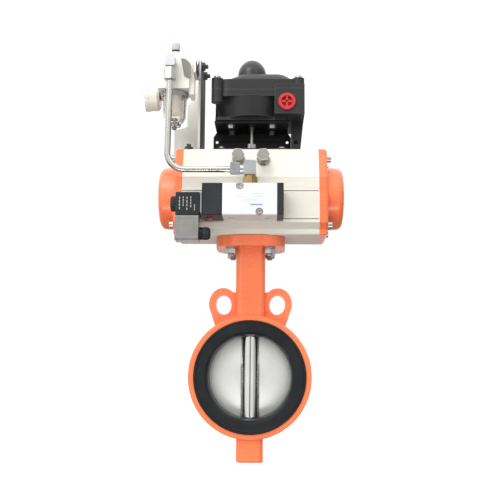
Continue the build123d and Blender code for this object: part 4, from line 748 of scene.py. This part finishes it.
def coil_housing(low, high):
    """The coil's block with its bore for the armature tube, set back a little for the label."""
    size = (high - low) / MM
    shell = bmesh.new()
    middle = (low + high) / 2 / MM
    tube_low, tube_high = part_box("armature_tube")
    tube = (tube_low + tube_high) / 2
    depth = size[1] - LABEL_ROOM
    corner = 1.4
    corner_steps = 4
    bore_radius = 5.05
    bore = bore_radius / math.cos(math.pi / (4 * corner_steps))
    walls = [[], [], [], []]
    for quarter, (sy, sz) in enumerate(((1, 1), (-1, 1), (-1, -1), (1, -1))):
        for step in range(corner_steps):
            turn = math.radians(90 * quarter + 30 * step)
            outer = (high[1] / MM - depth / 2 + sy * (depth / 2 - corner) + corner * math.cos(turn),
                     middle[2] + sz * (size[2] / 2 - corner) + corner * math.sin(turn))
            turn = math.radians(90 * quarter + 22.5 * step + 11.25)
            inner = (tube[1] / MM + bore * math.cos(turn), tube[2] / MM + bore * math.sin(turn))
            ends = ((low[0], outer), (high[0], outer), (high[0], inner), (low[0], inner))
            for wall, (x, (y, z)) in zip(walls, ends):
                wall.append(shell.verts.new((x, y * MM, z * MM)))
    join_rings(shell, walls + [walls[0]])
    rounded = new_piece("coil_shell", shell, "black_plastic", stands_for=("coil",))
    soften(rounded, 0.8 * MM)


def coil_and_prints():
    """The coil, and plain labels and bars where the real ones carry print, with no lettering."""
    low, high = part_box("coil")
    coil_housing(low, high)
    plate = bmesh.new()
    middle = (low + high) / 2 / MM
    at = axes_at((middle[0], low[1] / MM + LABEL_ROOM, middle[2]), (0, -1, 0))
    slab(plate, at, 25.0, 24.5, 0.15, 1.2)
    new_piece("coil_label", plate, "label_black")
    bars = bmesh.new()
    face = front_of("coil", -0.25)
    lengths = ((17, 0), (13, 2), (18, -0.5), (15, 1.5), (8, -5.5))
    first, spacing, pieces = -9.6, 4.6, 4
    for column, (length, shift) in enumerate(lengths):
        x = first + spacing * column
        for part in range(pieces):
            share = length / pieces
            y = shift - length / 2 + share * (part + 0.5)
            slab(bars, face @ Matrix.Translation((x * MM, y * MM, 0)), 1.1,
                 share * (0.62 + 0.08 * (part % 3)), 0.1, 0.1)
    new_piece("coil_label_bars", bars, "print_grey")
    imprint = bmesh.new()
    face = front_of("coil_connector", 0.05)
    slab(imprint, face, 17.0, 19.0, 0.15, 1.0)
    for x, y, length, tall in ((-3.5, -4.5, 4.0, 5.0), (3.0, -4.5, 5.0, 5.0), (0, 3.6, 11.0, 3.0)):
        slab(imprint, face @ Matrix.Translation((x * MM, y * MM, 0.15 * MM)), length, tall, 0.2, 0.5)
    new_piece("connector_relief", imprint, "grey_plastic")
    strip = bmesh.new()
    face = front_of("solenoid_body")
    for x, z, length, tall in (
        (9.5, 6.5, 17, 0.8), (12.0, 3.0, 12, 0.8), (6.5, -1.4, 7, 1.0), (-2.5, -1.4, 8, 1.0),
        (-11.5, 5.0, 12, 0.5), (-11.5, 2.4, 12, 0.5),
    ):
        slab(strip, face @ Matrix.Translation((x * MM, z * MM, 0)), length, tall, 0.02, 0.2)
    new_piece("valve_print", strip, "print_pale")
    stripe = bmesh.new()
    slab(stripe, face @ Matrix.Translation((8.5 * MM, -7.2 * MM, 0)), 15.0, 1.6, 0.02, 0.2)
    new_piece("valve_stripe", stripe, "print_blue")


def casting_marks():
    """Raised plain bars on the neck, where castings carry their marks."""
    marks = bmesh.new()
    neck_depth, gap, pitch = 40.0, 0.05, 7.6
    low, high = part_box("valve_body")
    middle = (low[0] + high[0]) / 2
    face = Matrix.Translation((middle, -(neck_depth / 2 + gap) * MM, high[2])) @ Matrix.Rotation(
        math.radians(90), 4, "X")
    for x, drop, count in ((-6.0, 92.0, 6), (6.0, 88.0, 5)):
        for step in range(count):
            at = face @ Matrix.Translation((x * MM, (pitch * step - drop) * MM, 0))
            slab(marks, at, 4.4, 5.8 - step % 2, 0.7, 0.5)
    new_piece("neck_marks", marks, "orange_coat")


casting_marks()
flange_fasteners()
stop_fasteners()
socket_screws()
line_fittings()
coil_fittings()
regulator_details()
gauge_dial()
formed_tube()
extrusion_lines()
plug_cross()
coil_and_prints()


# ---------------------------------------------------------------- stage, light and camera
def stage_floor():
    """Pale floor, hidden from the light that falls on the part, so it casts no colour or shadow."""
    lowest = cad_bounds[0][2]
    mesh = bpy.data.meshes.new("floor")
    size = 14.0
    corners = [(-size, -size, lowest), (size, -size, lowest), (size, size, lowest), (-size, size, lowest)]
    mesh.from_pydata(corners, [], [(0, 1, 2, 3)])
    floor = bpy.data.objects.new("floor", mesh)
    scene.collection.objects.link(floor)
    mat, tree, shader, where = new_material("floor_white")
    shade = two_tone(tree, noise(tree, where, 3.0), (0.80, 0.80, 0.80), (0.82, 0.82, 0.82))
    tree.links.new(shade, shader.inputs["Base Color"])
    shader.inputs["Roughness"].default_value = 0.9
    shader.inputs["Specular IOR Level"].default_value = 0.0
    shader.inputs["Emission Color"].default_value = (1, 1, 1, 1)
    shader.inputs["Emission Strength"].default_value = 0.40
    mesh.materials.append(mat)
    floor.visible_diffuse = False
    floor.visible_glossy = False
    floor.visible_shadow = False


def area_light(name, place, target, size, power, glossy=True):
    """A softbox aimed at target; the camera doesn't see it, nor do reflections if glossy is False."""
    data = bpy.data.lights.new(name, "AREA")
    data.shape = "RECTANGLE"
    data.size, data.size_y = size
    data.energy = power
    lamp = bpy.data.objects.new(name, data)
    lamp.location = place
    lamp.rotation_euler = (Vector(target) - Vector(place)).to_track_quat("-Z", "Y").to_euler()
    lamp.visible_glossy = glossy
    lamp.visible_camera = False
    scene.collection.objects.link(lamp)


def studio_world():
    """Light from above and in front, less from below and the right; the camera itself sees plain white."""
    world = bpy.data.worlds.new("studio")
    world.use_nodes = True
    tree = world.node_tree
    background = tree.nodes["Background"]
    coords = tree.nodes.new("ShaderNodeTexCoord")
    split = tree.nodes.new("ShaderNodeSeparateXYZ")
    tree.links.new(coords.outputs["Generated"], split.inputs["Vector"])

    x, y, z = split.outputs["X"], split.outputs["Y"], split.outputs["Z"]
    below, above = ramp(tree, z, -0.45, -0.05, 0.26, 1.02), ramp(tree, z, 0.20, 0.60, 0.0, 0.55)
    level = calc(tree, "ADD", below, above)
    middle = ramp(tree, calc(tree, "ABSOLUTE", x), 0.07, 0.20, 0.80, 0.0)
    band = calc(tree, "MULTIPLY", middle, ramp(tree, y, -0.5, -0.2, 1.0, 0.0))
    band = calc(tree, "MULTIPLY", band, ramp(tree, z, 0.35, 0.75, 1.0, 0.0))
    right, left = ramp(tree, x, 0.45, 0.85, 0.0, 0.50), ramp(tree, x, -0.95, -0.75, 0.35, 0.0)
    sides = calc(tree, "ADD", right, left)
    level = calc(tree, "SUBTRACT", calc(tree, "SUBTRACT", level, band), sides)
    level = calc(tree, "MAXIMUM", level, 0.08)
    path = tree.nodes.new("ShaderNodeLightPath")
    level = calc(tree, "MAXIMUM", level, path.outputs["Is Camera Ray"])
    tree.links.new(level, background.inputs["Strength"])
    background.inputs["Color"].default_value = (1, 1, 1, 1)
    scene.world = world


def photo_camera():
    """The camera at the photograph's angle."""
    data = bpy.data.cameras.new("camera")
    data.lens = 57.5
    data.sensor_width = 36.0
    camera = bpy.data.objects.new("camera", data)
    pitch = math.radians(7.92)
    yaw = math.radians(1.33)
    roll = math.radians(0.4)
    look = (
        Matrix.Rotation(yaw, 4, "Z") @ Matrix.Rotation(math.radians(90) + pitch, 4, "X")
        @ Matrix.Rotation(roll, 4, "Z")
    )
    camera.matrix_world = Matrix.Translation((0.0231, -1.050, 0.020)) @ look
    scene.collection.objects.link(camera)
    scene.camera = camera


stage_floor()
studio_world()
area_light("key", (-0.6, -1.1, 1.25), (0, 0, 0.2), (0.9, 0.7), 6.0)
area_light("fill", (-0.7, -1.7, 0.55), (0, 0, 0.05), (1.8, 1.1), 9.0, False)
area_light("low_strip", (0, -0.85, -0.60), (0, 0, 0.22), (1.6, 0.14), 6.0)
photo_camera()
